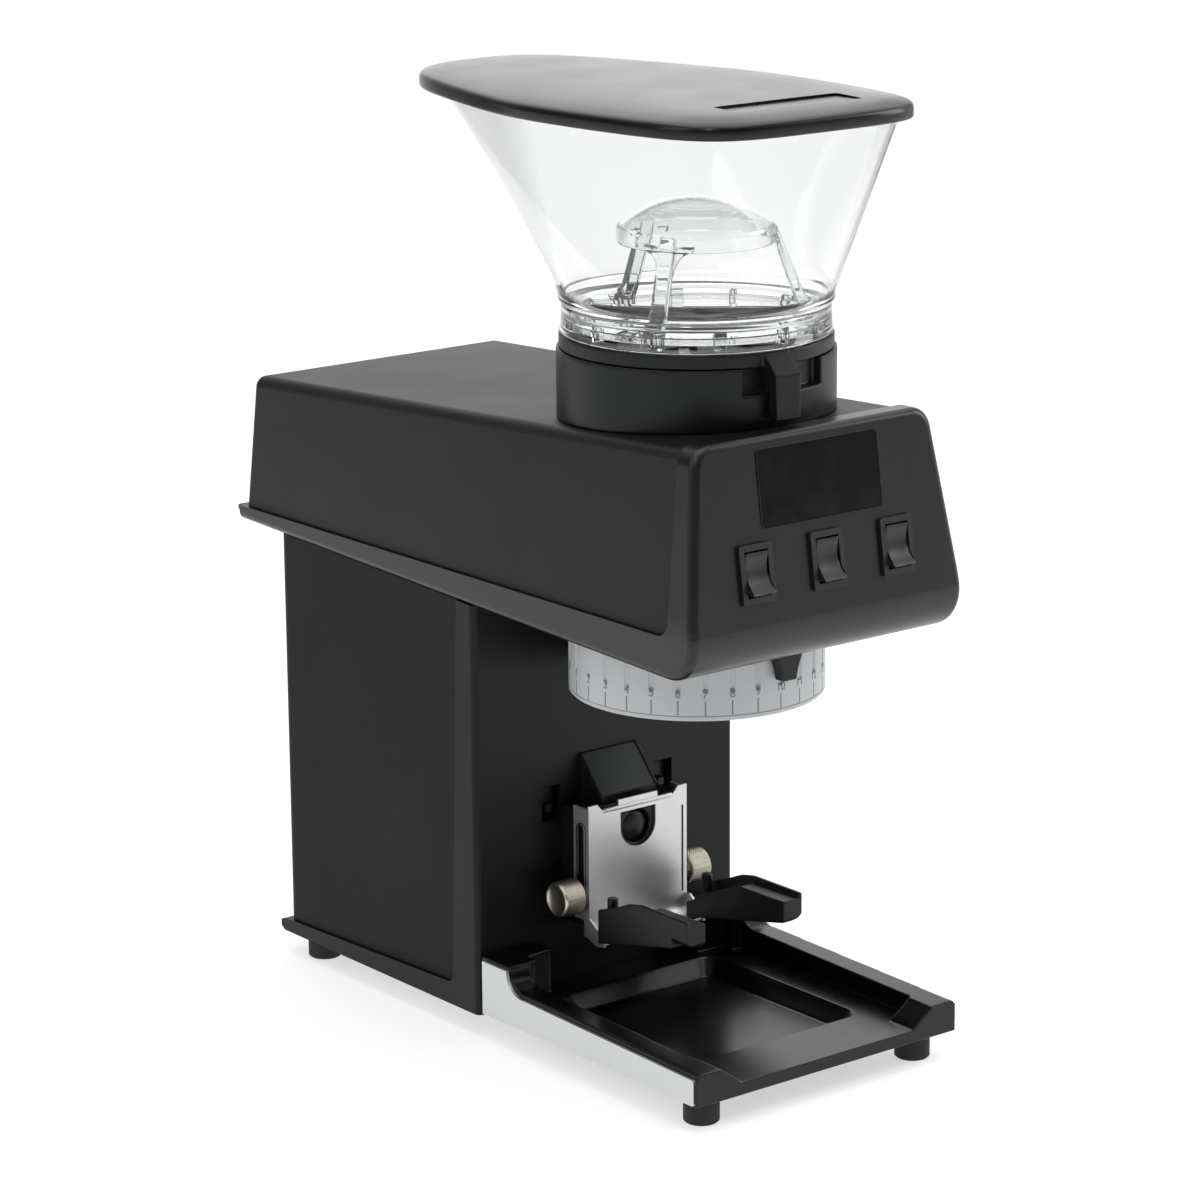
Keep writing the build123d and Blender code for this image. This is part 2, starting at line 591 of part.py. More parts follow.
# ---------------------------------------------------------------------------
# Grinding chamber, burrs and drive
# ---------------------------------------------------------------------------
with BuildPart() as chamber_housing:
    with BuildSketch(Plane.XY.offset(232.0)):
        with Locations((0, AX)):
            Circle(61.6)
            Circle(55.0, mode=Mode.SUBTRACT)
    extrude(amount=50.0)
    with BuildSketch(Plane.XY.offset(282.0)):
        with Locations((0, AX)):
            Circle(64.0)
            Circle(58.0, mode=Mode.SUBTRACT)
    extrude(amount=90.0)
    # flange that bolts to the floor of the head casting
    with BuildSketch(Plane.XY.offset(282.0)):
        with Locations((0, AX)):
            Circle(80.0)
            Circle(55.0, mode=Mode.SUBTRACT)
    extrude(amount=6.0)
    # chamber floor with the bearing hub
    with BuildSketch(Plane.XY.offset(300.0)):
        with Locations((0, AX)):
            Circle(58.5)
            Circle(17.0, mode=Mode.SUBTRACT)
    extrude(amount=10.0)
    # outlet slot in the floor, at the front
    with BuildSketch(Plane.XY.offset(298.0)):
        with Locations((0, AX - 46.0)):
            Rectangle(40.0, 16.0)
    extrude(amount=14.0, mode=Mode.SUBTRACT)
    # window at the rear for the belt
    with BuildSketch(Plane.XY.offset(271.0)):
        with Locations((0, AX + 60.0)):
            Rectangle(84.0, 90.0)
    extrude(amount=24.0, mode=Mode.SUBTRACT)
    # grooves that guide the keys of the sleeve
    with BuildSketch(Plane.XY.offset(231.0)):
        with Locations((56.0, AX), (-56.0, AX)):
            Rectangle(6.0, 6.8)
    extrude(amount=30.0, mode=Mode.SUBTRACT)
    # seat for the upper burr carrier
    with BuildSketch(Plane.XY.offset(341.0)):
        with Locations((0, AX)):
            Circle(61.0)
    extrude(amount=40.0, mode=Mode.SUBTRACT)
chamber_housing.part.label = "chamber_housing"
export_step(chamber_housing.part, "parts/chamber_housing.step")


with BuildPart() as upper_burr_carrier:
    with BuildSketch(Plane.XY.offset(341.0)):
        with Locations((0, AX)):
            Circle(60.8)
            Circle(42.2, mode=Mode.SUBTRACT)
    extrude(amount=3.0)
    with BuildSketch(Plane.XY.offset(344.0)):
        with Locations((0, AX)):
            Circle(60.8)
            Circle(22.0, mode=Mode.SUBTRACT)
    extrude(amount=9.0)
upper_burr_carrier.part.label = "upper_burr_carrier"
export_step(upper_burr_carrier.part, "parts/upper_burr_carrier.step")

with BuildPart() as upper_burr:
    with BuildSketch(Plane.XZ.offset(-AX)):
        with BuildLine():
            Polyline((22.0, 344.0), (42.0, 344.0), (42.0, 334.6), (30.0, 334.6), (22.0, 339.0), close=True)
        make_face()
    revolve(axis=Axis((0, AX, 0), (0, 0, 1)))
    with BuildSketch(Plane.XY.offset(334.0)):
        with Locations((0, AX)):
            with PolarLocations(32.0, 24):
                Rectangle(18.0, 1.4, rotation=20)
    extrude(amount=2.0, mode=Mode.SUBTRACT)
upper_burr.part.label = "upper_burr"
export_step(upper_burr.part, "parts/upper_burr.step")

with BuildPart() as lower_burr:
    with BuildSketch(Plane.XZ.offset(-AX)):
        with BuildLine():
            Polyline((20.0, 326.0), (42.0, 326.0), (42.0, 334.0), (30.0, 334.0), (20.0, 331.5), close=True)
        make_face()
    revolve(axis=Axis((0, AX, 0), (0, 0, 1)))
    with BuildSketch(Plane.XY.offset(332.6)):
        with Locations((0, AX)):
            with PolarLocations(32.0, 24):
                Rectangle(18.0, 1.4, rotation=-20)
    extrude(amount=2.0, mode=Mode.SUBTRACT)
lower_burr.part.label = "lower_burr"
export_step(lower_burr.part, "parts/lower_burr.step")

with BuildPart() as lower_burr_carrier:
    with BuildSketch(Plane.XY.offset(314.0)):
        with Locations((0, AX)):
            Circle(46.0)
            Circle(8.0, mode=Mode.SUBTRACT)
    extrude(amount=12.0)
    with BuildSketch(Plane.XY.offset(326.0)):
        with Locations((0, AX)):
            Circle(19.8)
            Circle(8.0, mode=Mode.SUBTRACT)
    extrude(amount=6.0)
    # two sweeper vanes
    with BuildSketch(Plane.XY.offset(312.5)):
        with Locations((0, AX + 49.0), (0, AX - 49.0)):
            Rectangle(5.0, 14.0)
    extrude(amount=10.0)
lower_burr_carrier.part.label = "lower_burr_carrier"
export_step(lower_burr_carrier.part, "parts/lower_burr_carrier.step")

with BuildPart() as spindle:
    with BuildSketch(Plane.XY.offset(241.0)):
        with Locations((0, AX)):
            Circle(6.0)
    extrude(amount=16.0)
    with BuildSketch(Plane.XY.offset(257.0)):
        with Locations((0, AX)):
            Circle(8.0)
    extrude(amount=80.0)
spindle.part.label = "spindle"
export_step(spindle.part, "parts/spindle.step")

with BuildPart() as spindle_nut:
    with BuildSketch(Plane.XY.offset(332.0)):
        with Locations((0, AX)):
            RegularPolygon(13.0, 6)
            Circle(8.0, mode=Mode.SUBTRACT)
    extrude(amount=5.0)
spindle_nut.part.label = "spindle_nut"
export_step(spindle_nut.part, "parts/spindle_nut.step")

with BuildPart() as spindle_bearing:
    with BuildSketch(Plane.XY.offset(300.0)):
        with Locations((0, AX)):
            Circle(17.0)
            Circle(8.06, mode=Mode.SUBTRACT)
    extrude(amount=10.0)
spindle_bearing.part.label = "spindle_bearing"
export_step(spindle_bearing.part, "parts/spindle_bearing.step")

with BuildPart() as thrust_bearing:
    with BuildSketch(Plane.XY.offset(245.0)):
        with Locations((0, AX)):
            Circle(14.0)
            Circle(6.06, mode=Mode.SUBTRACT)
    extrude(amount=11.8)
thrust_bearing.part.label = "thrust_bearing"
export_step(thrust_bearing.part, "parts/thrust_bearing.step")

with BuildPart() as spindle_pulley:
    with BuildSketch(Plane.XY.offset(BELT_Z0 - 3.5)):
        with Locations((0, AX)):
            Circle(PULLEY_S + 2.5)
            Circle(8.0, mode=Mode.SUBTRACT)
    extrude(amount=2.0)
    with BuildSketch(Plane.XY.offset(BELT_Z0 - 1.5)):
        with Locations((0, AX)):
            Circle(PULLEY_S)
            Circle(8.0, mode=Mode.SUBTRACT)
    extrude(amount=BELT_Z1 - BELT_Z0 + 3.0)
spindle_pulley.part.label = "spindle_pulley"
export_step(spindle_pulley.part, "parts/spindle_pulley.step")

with BuildPart() as motor_pulley:
    with BuildSketch(Plane.XY.offset(BELT_Z0 - 3.5)):
        with Locations((0, AX + MOTOR_Y)):
            Circle(PULLEY_M + 2.5)
            Circle(7.0, mode=Mode.SUBTRACT)
    extrude(amount=2.0)
    with BuildSketch(Plane.XY.offset(BELT_Z0 - 1.5)):
        with Locations((0, AX + MOTOR_Y)):
            Circle(PULLEY_M)
            Circle(7.0, mode=Mode.SUBTRACT)
    extrude(amount=BELT_Z1 - BELT_Z0 + 3.0)
motor_pulley.part.label = "motor_pulley"
export_step(motor_pulley.part, "parts/motor_pulley.step")


def belt_outline(extra):
    """Tangent points of the two belt runs, on circles grown by extra."""
    a, b = PULLEY_S + extra, PULLEY_M + extra
    s = math.asin((a - b) / MOTOR_Y)
    c, n = math.cos(s), math.sin(s)
    return [(a * c, AX + a * n), (b * c, AX + MOTOR_Y + b * n),
            (-b * c, AX + MOTOR_Y + b * n), (-a * c, AX + a * n), a, b]


BELT_GAP = 0.15
with BuildPart() as drive_belt:
    with BuildSketch(Plane.XY.offset(BELT_Z0)):
        q = belt_outline(BELT_GAP + BELT_T)
        with BuildLine():
            Line(q[0], q[1])
            ThreePointArc(q[1], (0, AX + MOTOR_Y + q[5]), q[2])
            Line(q[2], q[3])
            ThreePointArc(q[3], (0, AX - q[4]), q[0])
        make_face()
        q = belt_outline(BELT_GAP)
        with BuildLine():
            Line(q[0], q[1])
            ThreePointArc(q[1], (0, AX + MOTOR_Y + q[5]), q[2])
            Line(q[2], q[3])
            ThreePointArc(q[3], (0, AX - q[4]), q[0])
        make_face(mode=Mode.SUBTRACT)
    extrude(amount=BELT_Z1 - BELT_Z0)
drive_belt.part.label = "drive_belt"
export_step(drive_belt.part, "parts/drive_belt.step")

# outlet funnel between the chamber and the setting ring
with BuildPart() as outlet_funnel:
    with BuildSketch(Plane.XZ.offset(-AX)):
        with BuildLine():
            Polyline((55.0, 270.0), (55.0, 266.0), (44.0, 263.2), (42.0, 263.2), (42.0, 265.0), (52.0, 270.0), close=True)
        make_face()
    revolve(axis=Axis((0, AX, 0), (0, 0, 1)))
outlet_funnel.part.label = "outlet_funnel"
export_step(outlet_funnel.part, "parts/outlet_funnel.step")

with BuildPart() as adjusting_sleeve:
    with BuildSketch(Plane.XY.offset(224.0)):
        with Locations((0, AX)):
            Circle(47.6)
            Circle(43.0, mode=Mode.SUBTRACT)
    extrude(amount=36.0)
    with BuildSketch(Plane.XY.offset(242.0)):
        with Locations((0, AX)):
            Circle(18.0)
            Circle(7.0, mode=Mode.SUBTRACT)
    extrude(amount=3.0)
    with BuildSketch(Plane.XY.offset(245.0)):
        with Locations((0, AX)):
            Circle(18.0)
            Circle(14.0, mode=Mode.SUBTRACT)
    extrude(amount=11.8)
    with BuildSketch(Plane.XY.offset(242.0)):
        with Locations((0, AX)):
            with PolarLocations(30.8, 3, start_angle=90):
                Rectangle(27.0, 5.0)
    extrude(amount=12.0)
    # two keys that run in grooves of the nozzle
    with BuildSketch(Plane.XY.offset(238.0)):
        with Locations((52.4, AX), (-52.4, AX)):
            Rectangle(11.2, 6.0)
    extrude(amount=16.0)
adjusting_sleeve.part.label = "adjusting_sleeve"
export_step(adjusting_sleeve.part, "parts/adjusting_sleeve.step")

NUMERALS = 30
with BuildPart() as adjusting_ring:
    with BuildSketch(Plane.XY.offset(RING_BOTTOM)):
        with Locations((0, AX)):
            Circle(RING_R)
            Circle(62.2, mode=Mode.SUBTRACT)
    extrude(amount=RING_TOP - RING_BOTTOM)
    chamfer(adjusting_ring.faces().sort_by(Axis.Z)[0].edges().sort_by(SortBy.RADIUS)[-1], 1.0)
    # inner web with the threaded bore for the sleeve
    with BuildSketch(Plane.XY.offset(RING_BOTTOM + 1.5)):
        with Locations((0, AX)):
            Circle(63.0)
            Circle(47.9, mode=Mode.SUBTRACT)
    extrude(amount=6.0)
    # groove for the retaining ring
    with BuildSketch(Plane.XY.offset(240.0)):
        with Locations((0, AX)):
            Circle(64.4)
    extrude(amount=4.6, mode=Mode.SUBTRACT)
    # shallow grip flutes round the upper part
    with BuildSketch(Plane.XY.offset(236.0)):
        with Locations((0, AX)):
            with PolarLocations(RING_R + 1.1, NUMERALS, start_angle=6.0):
                Circle(2.0)
    extrude(amount=30.0, mode=Mode.SUBTRACT)
adjusting_ring.part.label = "adjusting_ring"
export_step(adjusting_ring.part, "parts/adjusting_ring.step")

with BuildPart() as ring_retainer:
    with BuildSketch(Plane.XY.offset(240.4)):
        with Locations((0, AX)):
            Circle(64.0)
            Circle(61.6, mode=Mode.SUBTRACT)
            Rectangle(8.0, 70.0, align=(Align.CENTER, Align.MIN), mode=Mode.SUBTRACT)
    extrude(amount=3.8)
ring_retainer.part.label = "ring_retainer"
export_step(ring_retainer.part, "parts/ring_retainer.step")

with BuildPart() as pointer:
    with BuildSketch(Plane.XZ.offset(-(AX - 76.2))) as pt:
        with BuildLine():
            Polyline((-14.0, 262.0), (14.0, 262.0), (9.4, 254.0), (6.8, 247.0), (5.4, 240.6), (-5.4, 240.6),
                     (-6.8, 247.0), (-9.4, 254.0), close=True)
        make_face()
    extrude(amount=7.0)
    split(bisect_by=Plane(origin=(0, AX, under(0.0)), x_dir=(1, 0, 0), z_dir=(0, -UNDER_SLOPE, 1)),
          keep=Keep.BOTTOM)
    fillet(pointer.faces().sort_by(Axis.Y)[0].edges().filter_by(Axis.X, reverse=True), 1.5)
pointer.part.label = "pointer"
export_step(pointer.part, "parts/pointer.step")

with BuildPart() as feed_cone:
    with BuildSketch(Plane.XZ.offset(-AX)):
        with BuildLine():
            Polyline((22.0, 353.0), (26.0, 353.0), (60.8, 372.0), (69.0, 396.0), (69.0, 408.0), (66.0, 408.0),
                     (66.0, 397.0), (58.0, 374.0), (22.0, 354.5), close=True)
        make_face()
    revolve(axis=Axis((0, AX, 0), (0, 0, 1)))
feed_cone.part.label = "feed_cone"
export_step(feed_cone.part, "parts/feed_cone.step")

# ---------------------------------------------------------------------------
# Motor and electrics in the column
# ---------------------------------------------------------------------------
MOTOR_Z0, MOTOR_Z1 = 120.0, 244.0
with BuildPart() as motor_plate:
    with BuildSketch(Plane.XY.offset(MOTOR_Z1)):
        with Locations((0, AX + MOTOR_Y)):
            Rectangle(188.0, 150.0)
            Circle(20.0, mode=Mode.SUBTRACT)
    extrude(amount=5.0)
motor_plate.part.label = "motor_plate"
export_step(motor_plate.part, "parts/motor_plate.step")


with BuildPart() as motor_can:
    with BuildSketch(Plane.XY.offset(MOTOR_Z0)):
        with Locations((0, AX + MOTOR_Y)):
            Circle(62.0)
    extrude(amount=MOTOR_Z1 - MOTOR_Z0)
    with BuildSketch(Plane.XY.offset(MOTOR_Z0 + 14.0)):
        with Locations((0, AX + MOTOR_Y)):
            Circle(36.0)
    extrude(amount=MOTOR_Z1 - MOTOR_Z0 - 28.0, mode=Mode.SUBTRACT)
    with BuildSketch(Plane.XY.offset(MOTOR_Z0 + 4.0)):
        with Locations((0, AX + MOTOR_Y)):
            Circle(16.0)
    extrude(amount=MOTOR_Z1, mode=Mode.SUBTRACT)
    # cooling ribs
    with BuildSketch(Plane.XY.offset(MOTOR_Z0 + 20.0)):
        with Locations((0, AX + MOTOR_Y)):
            with PolarLocations(62.0, 36):
                Rectangle(5.0, 3.0)
    extrude(amount=84.0, mode=Mode.SUBTRACT)
motor_can.part.label = "motor_can"
export_step(motor_can.part, "parts/motor_can.step")

with BuildPart() as motor_bearings:
    with BuildSketch(Plane.XY.offset(MOTOR_Z0 + 4.0)):
        with Locations((0, AX + MOTOR_Y)):
            Circle(16.0)
            Circle(7.05, mode=Mode.SUBTRACT)
    extrude(amount=9.0)
    with BuildSketch(Plane.XY.offset(MOTOR_Z1 - 13.0)):
        with Locations((0, AX + MOTOR_Y)):
            Circle(16.0)
            Circle(7.05, mode=Mode.SUBTRACT)
    extrude(amount=9.0)
motor_bearings.part.label = "motor_bearings"
export_step(motor_bearings.part, "parts/motor_bearings.step")

with BuildPart() as motor_rotor:
    with BuildSketch(Plane.XY.offset(MOTOR_Z0 + 4.5)):
        with Locations((0, AX + MOTOR_Y)):
            Circle(7.0)
    extrude(amount=BELT_Z1 + 4.0 - MOTOR_Z0 - 4.5)
    with BuildSketch(Plane.XY.offset(MOTOR_Z0 + 18.0)):
        with Locations((0, AX + MOTOR_Y)):
            Circle(35.2)
    extrude(amount=MOTOR_Z1 - MOTOR_Z0 - 36.0)
motor_rotor.part.label = "motor_rotor"
export_step(motor_rotor.part, "parts/motor_rotor.step")


with BuildPart() as start_capacitor:
    with BuildSketch(Plane.XY.offset(23.0)):
        with Locations((62.0, AX + 135.0)):
            Circle(20.0)
    extrude(amount=78.0)
    fillet(start_capacitor.edges().group_by(Axis.Z)[-1], 2.0)
    with BuildSketch(Plane.XY.offset(101.0)):
        with Locations((57.0, AX + 135.0), (67.0, AX + 135.0)):
            Rectangle(0.8, 6.0)
    extrude(amount=8.0)
start_capacitor.part.label = "start_capacitor"
export_step(start_capacitor.part, "parts/start_capacitor.step")

with BuildPart() as power_board:
    with BuildSketch(Plane.YZ.offset(-88.0)):
        with Locations((AX + 195.0, 68.0)):
            Rectangle(120.0, 80.0)
    extrude(amount=1.6)
    with BuildSketch(Plane.YZ.offset(-86.4)):
        with Locations((AX + 160.0, 78.0)):
            Rectangle(32.0, 36.0)
        with Locations((AX + 205.0, 60.0)):
            Rectangle(18.0, 26.0)
        with Locations((AX + 232.0, 82.0)):
            Circle(9.0)
    extrude(amount=18.0)
    # stand-offs on the floor of the column
    with BuildSketch(Plane.XY.offset(23.0)):
        with Locations((-87.2, AX + 150.0), (-87.2, AX + 240.0)):
            Rectangle(1.6, 10.0)
    extrude(amount=5.0)
power_board.part.label = "power_board"
export_step(power_board.part, "parts/power_board.step")

# ---------------------------------------------------------------------------
# Tray base
# ---------------------------------------------------------------------------
for name, s in (("skirt_left", -1), ("skirt_right", 1)):
    with BuildPart() as skirt:
        with BuildSketch(Plane.YZ.offset(s * (BASE_HALF_W - 2.0))):
            with BuildLine():
                m0 = Polyline(*side([(56.8, 50.0), (80.5, 50.0), (80.5, 17.0), (-115.0, 17.0), (-116.4, 18.5),
                                     (-116.4, 31.0), (-115.0, 32.4), (40.0, 36.0)]))
                m1 = ThreePointArc(m0 @ 1, (AX + 52.4, 39.8), (AX + 56.8, 48.0))
                Line(m1 @ 1, m0 @ 0)
            make_face()
        extrude(amount=2.0 * s)
    skirt.part.label = name
    export_step(skirt.part, "parts/" + name + ".step")

SHELF = 24.0
with BuildPart() as catch_tray:
    # shelf round the pocket
    with BuildSketch(Plane.XY.offset(19.3)):
        with Locations((0, AX + 0.5 * (TRAY_FRONT + 84.3))):
            Rectangle(2 * 97.3, 84.3 - TRAY_FRONT)
    extrude(amount=SHELF - 19.3)
    # rails that rise to the blocks beside the column
    with BuildSketch(Plane.YZ) as rail:
        with BuildLine():
            n0 = Polyline(*side([(57.0, 52.0), (84.3, 52.0), (84.3, 19.3), (TRAY_FRONT, 19.3), (TRAY_FRONT, 35.4), (42.0, 38.8)]))
            n1 = ThreePointArc(n0 @ 1, (AX + 53.2, 42.4), (AX + 57.0, 50.0))
            Line(n1 @ 1, n0 @ 0)
        make_face()
    extrude(amount=97.3, both=True)
    with BuildSketch(Plane.XY.offset(SHELF)) as well:
        with BuildLine():
            w = [(82.0, -98.0), (82.0, 56.0), (76.0, 58.0), (76.0, 66.0), (57.0, 68.0), (57.0, 90.0)]
            Polyline(*([(x, AX + y) for x, y in w] + [(-x, AX + y) for x, y in w[::-1]]), close=True)
        make_face()
    extrude(amount=40.0, mode=Mode.SUBTRACT)
    # between the front corner blocks the front is open, with sloping block ends
    with BuildSketch(Plane.XZ.offset(-(AX - 98.0))) as mouth:
        with BuildLine():
            Polyline((-80.0, 40.0), (-80.0, 35.0), (-67.5, 26.0), (-66.0, SHELF), (66.0, SHELF),
                     (67.5, 26.0), (80.0, 35.0), (80.0, 40.0), close=True)
        make_face()
    extrude(amount=30.0, mode=Mode.SUBTRACT)
    # front wall over the full width, in front of the side strips
    with BuildSketch(Plane.XZ.offset(-(AX - 116.8))):
        with BuildLine():
            Polyline((-BASE_HALF_W, 16.1), (-BASE_HALF_W, 33.0), (-97.3, 35.2), (-80.2, 35.2), (-67.5, 26.0), (-66.0, SHELF),
                     (66.0, SHELF), (67.5, 26.0), (80.2, 35.2), (97.3, 35.2), (BASE_HALF_W, 33.0), (BASE_HALF_W, 16.1), close=True)
        make_face()
    extrude(amount=1.5)
    with BuildSketch(Plane.XY.offset(16.1)):
        with Locations((0, AX - 115.4)):
            Rectangle(2 * 97.3, 5.8)
    extrude(amount=4.0)
    # pocket basin
    with BuildSketch(Plane.XY.offset(12.0)):
        with Locations((0, AX - 8.5)):
            RectangleRounded(108.0, 123.0, 8.0)
    with BuildSketch(Plane.XY.offset(20.0)):
        with Locations((0, AX - 8.5)):
            RectangleRounded(124.0, 139.0, 12.0)
    loft(ruled=True)
    with BuildSketch(Plane.XY.offset(14.5)):
        with Locations((0, AX - 8.5)):
            RectangleRounded(103.0, 118.0, 6.0)
    with BuildSketch(Plane.XY.offset(SHELF)):
        with Locations((0, AX - 8.5)):
            RectangleRounded(122.0, 137.0, 11.0)
    loft(ruled=True, mode=Mode.SUBTRACT)
catch_tray.part.label = "catch_tray"
export_step(catch_tray.part, "parts/catch_tray.step")

# ---------------------------------------------------------------------------
# Filter holder
# ---------------------------------------------------------------------------
BUTTON_Z = 120.0
KNOB_Y, KNOB_Z = 64.0, 83.0
with BuildPart() as holder_bracket:
    with BuildSketch(Plane.XZ.offset(-(AX + COL_FRONT))):
        with Locations((0, 98.0)):
            Rectangle(2 * 35.9, 72.0)
    extrude(amount=COL_FRONT - 57.2)
    # wedge-shaped housing over the button
    with BuildSketch(Plane.YZ) as wedge:
        with BuildLine():
            Polyline(*side([(COL_FRONT, 163.5), (83.6, 163.5), (63.6, 141.2), (63.6, 134.0), (COL_FRONT, 134.0)]), close=True)
        make_face()
    extrude(amount=21.5, both=True)
    # bore for the button, and tapped holes for the thumbscrews
    with BuildSketch(Plane.XZ.offset(-(AX + 56.0))):
        with Locations((0, BUTTON_Z)):
            Circle(10.3)
    extrude(amount=-21.0, mode=Mode.SUBTRACT)
    with BuildSketch(Plane.YZ.offset(-50.0)):
        with Locations((AX + KNOB_Y, KNOB_Z)):
            Circle(3.05)
    extrude(amount=100.0, mode=Mode.SUBTRACT)
holder_bracket.part.label = "holder_bracket"
export_step(holder_bracket.part, "parts/holder_bracket.step")

with BuildPart() as filter_button:
    with BuildSketch(Plane.XZ.offset(-(AX + 71.0))):
        with Locations((0, BUTTON_Z)):
            Circle(9.9)
    extrude(amount=7.0)
    with BuildSketch(Plane.YZ) as dome:
        with BuildLine():
            d1 = ThreePointArc((AX + 58.0, BUTTON_Z), (AX + 59.8, BUTTON_Z + 6.0), (AX + 64.0, BUTTON_Z + 9.9))
            d2 = Line(d1 @ 1, (AX + 64.0, BUTTON_Z))
            Line(d2 @ 1, d1 @ 0)
        make_face()
    revolve(axis=Axis((0, AX, BUTTON_Z), (0, 1, 0)))
filter_button.part.label = "filter_button"
export_step(filter_button.part, "parts/filter_button.step")

# conical return spring, drawn as its few flat coils
with BuildPart() as button_spring:
    for k in range(3):
        with BuildSketch(Plane.XZ.offset(-(AX + 76.9 - 0.55 * k))):
            with Locations((0, BUTTON_Z)):
                Circle(8.6 - 1.6 * k)
                Circle(6.9 - 1.6 * k, mode=Mode.SUBTRACT)
        extrude(amount=0.55)
button_spring.part.label = "button_spring"
export_step(button_spring.part, "parts/button_spring.step")

PL = 1.5               # steel plate thickness
with BuildPart() as holder_plate:
    # front face, bent forward into a shelf at the bottom
    with BuildSketch(Plane.YZ) as pl:
        with BuildLine():
            Polyline(*side([(FORK_Y, 139.5), (FORK_Y + PL, 139.5), (FORK_Y + PL, 56.5), (41.0, 56.5), (41.0, 56.5 + PL),
                            (FORK_Y, 56.5 + PL)]), close=True)
        make_face()
        fillet(pl.vertices().sort_by_distance((AX + FORK_Y + PL, 56.5))[0], 9.5)
        fillet(pl.vertices().sort_by_distance((AX + FORK_Y, 56.5 + PL))[0], 8.0)
    extrude(amount=FORK_W, both=True)
    # side flanges
    with BuildSketch(Plane.YZ.offset(FORK_W - PL)):
        with Locations((AX + 62.9, 102.5)):
            Rectangle(14.2, 70.0)
    extrude(amount=PL)
    with BuildSketch(Plane.YZ.offset(-FORK_W)):
        with Locations((AX + 62.9, 102.5)):
            Rectangle(14.2, 70.0)
    extrude(amount=PL)
    # chamfered upper edge and the window for the button
    with BuildSketch(Plane.XZ.offset(-(AX + 58.0))):
        with BuildLine():
            Polyline((-32.5, 141.0), (-26.5, 134.5), (26.5, 134.5), (32.5, 141.0), close=True)
        make_face()
        with BuildLine():
            Polyline((-13.5, 131.4), (-13.5, 121.5), (13.5, 121.5), (13.5, 131.4), close=True)
        make_face()
        with Locations((0, 121.5)):
            Circle(13.5)
            with Locations((0, 18.4)):
                Rectangle(30.0, 17.0, mode=Mode.SUBTRACT)
    extrude(amount=6.0, mode=Mode.SUBTRACT)
    # height slots in the flanges
    with BuildSketch(Plane.YZ.offset(-60.0)):
        with Locations((AX + KNOB_Y, 101.5)):
            SlotOverall(51.0, 7.4, rotation=90)
    extrude(amount=120.0, mode=Mode.SUBTRACT)
holder_plate.part.label = "holder_plate"
export_step(holder_plate.part, "parts/holder_plate.step")

ARM_IN, ARM_OUT = 30.0, 44.4
for name, s in (("fork_arm_left", -1), ("fork_arm_right", 1)):
    with BuildPart() as arm:
        with BuildSketch(Plane.YZ.offset(s * ARM_IN)) as ap:
            with BuildLine():
                Polyline(*side([(39.0, 81.0), (23.5, 86.2), (10.0, 92.0), (-1.0, 94.2), (-43.7, 94.4), (-43.7, 78.0),
                                (37.5, 60.2), (39.0, 60.2)]), close=True)
            make_face()
            fillet(ap.vertices().sort_by_distance((AX - 43.7, 94.4))[0], 1.5)
            fillet(ap.vertices().sort_by_distance((AX - 43.7, 78.0))[0], 2.5)
        extrude(amount=s * (ARM_OUT - ARM_IN))
        # tongue that lies on the shelf of the plate
        with BuildSketch(Plane.YZ.offset(s * ARM_IN)):
            with BuildLine():
                Polyline(*side([(38.5, 60.2), (41.2, 58.1), (46.6, 58.1), (46.6, 68.0), (38.5, 72.0)]), close=True)
            make_face()
        extrude(amount=s * 5.8)
        # inclined ledge for the rim of the filter, inside the outer wall
        with BuildSketch(Plane.YZ.offset(s * (ARM_IN - 1.0))):
            with BuildLine():
                Polyline(*side([(60.0, 65.0), (36.0, 74.6), (-4.0, 90.6), (-50.0, 91.4), (-50.0, 110.0), (60.0, 110.0)]),
                         close=True)
            make_face()
        extrude(amount=s * 13.0, mode=Mode.SUBTRACT)
        # the lower outer edge rises at the tip
        with BuildSketch(Plane.XZ.offset(-(AX - 50.0))):
            with BuildLine():
                Polyline((s * 36.5, 60.0), (s * 36.5, 77.4), (s * 41.0, 78.6), (s * 46.0, 82.6), (s * 46.0, 60.0), close=True)
            make_face()
        extrude(amount=-20.0, mode=Mode.SUBTRACT)
        # locating stud at the rear
        with BuildSketch(Plane.XY.offset(66.0)):
            with Locations((s * 36.4, AX + 34.5)):
                Circle(3.2)
        extrude(amount=22.0)
    arm.part.label = name
    export_step(arm.part, "parts/" + name + ".step")

with BuildPart() as arm_clips:
    for s in (-1, 1):
        with BuildSketch(Plane.YZ.offset(s * FORK_W)):
            with BuildLine():
                Polyline(*side([(58.6, 58.5), (58.6, 70.0), (53.0, 70.0), (46.0, 65.0), (39.6, 65.0), (39.6, 56.0), (46.0, 54.5)]), close=True)
            make_face()
        extrude(amount=s * 1.5)
arm_clips.part.label = "arm_clips"
export_step(arm_clips.part, "parts/arm_clips.step")

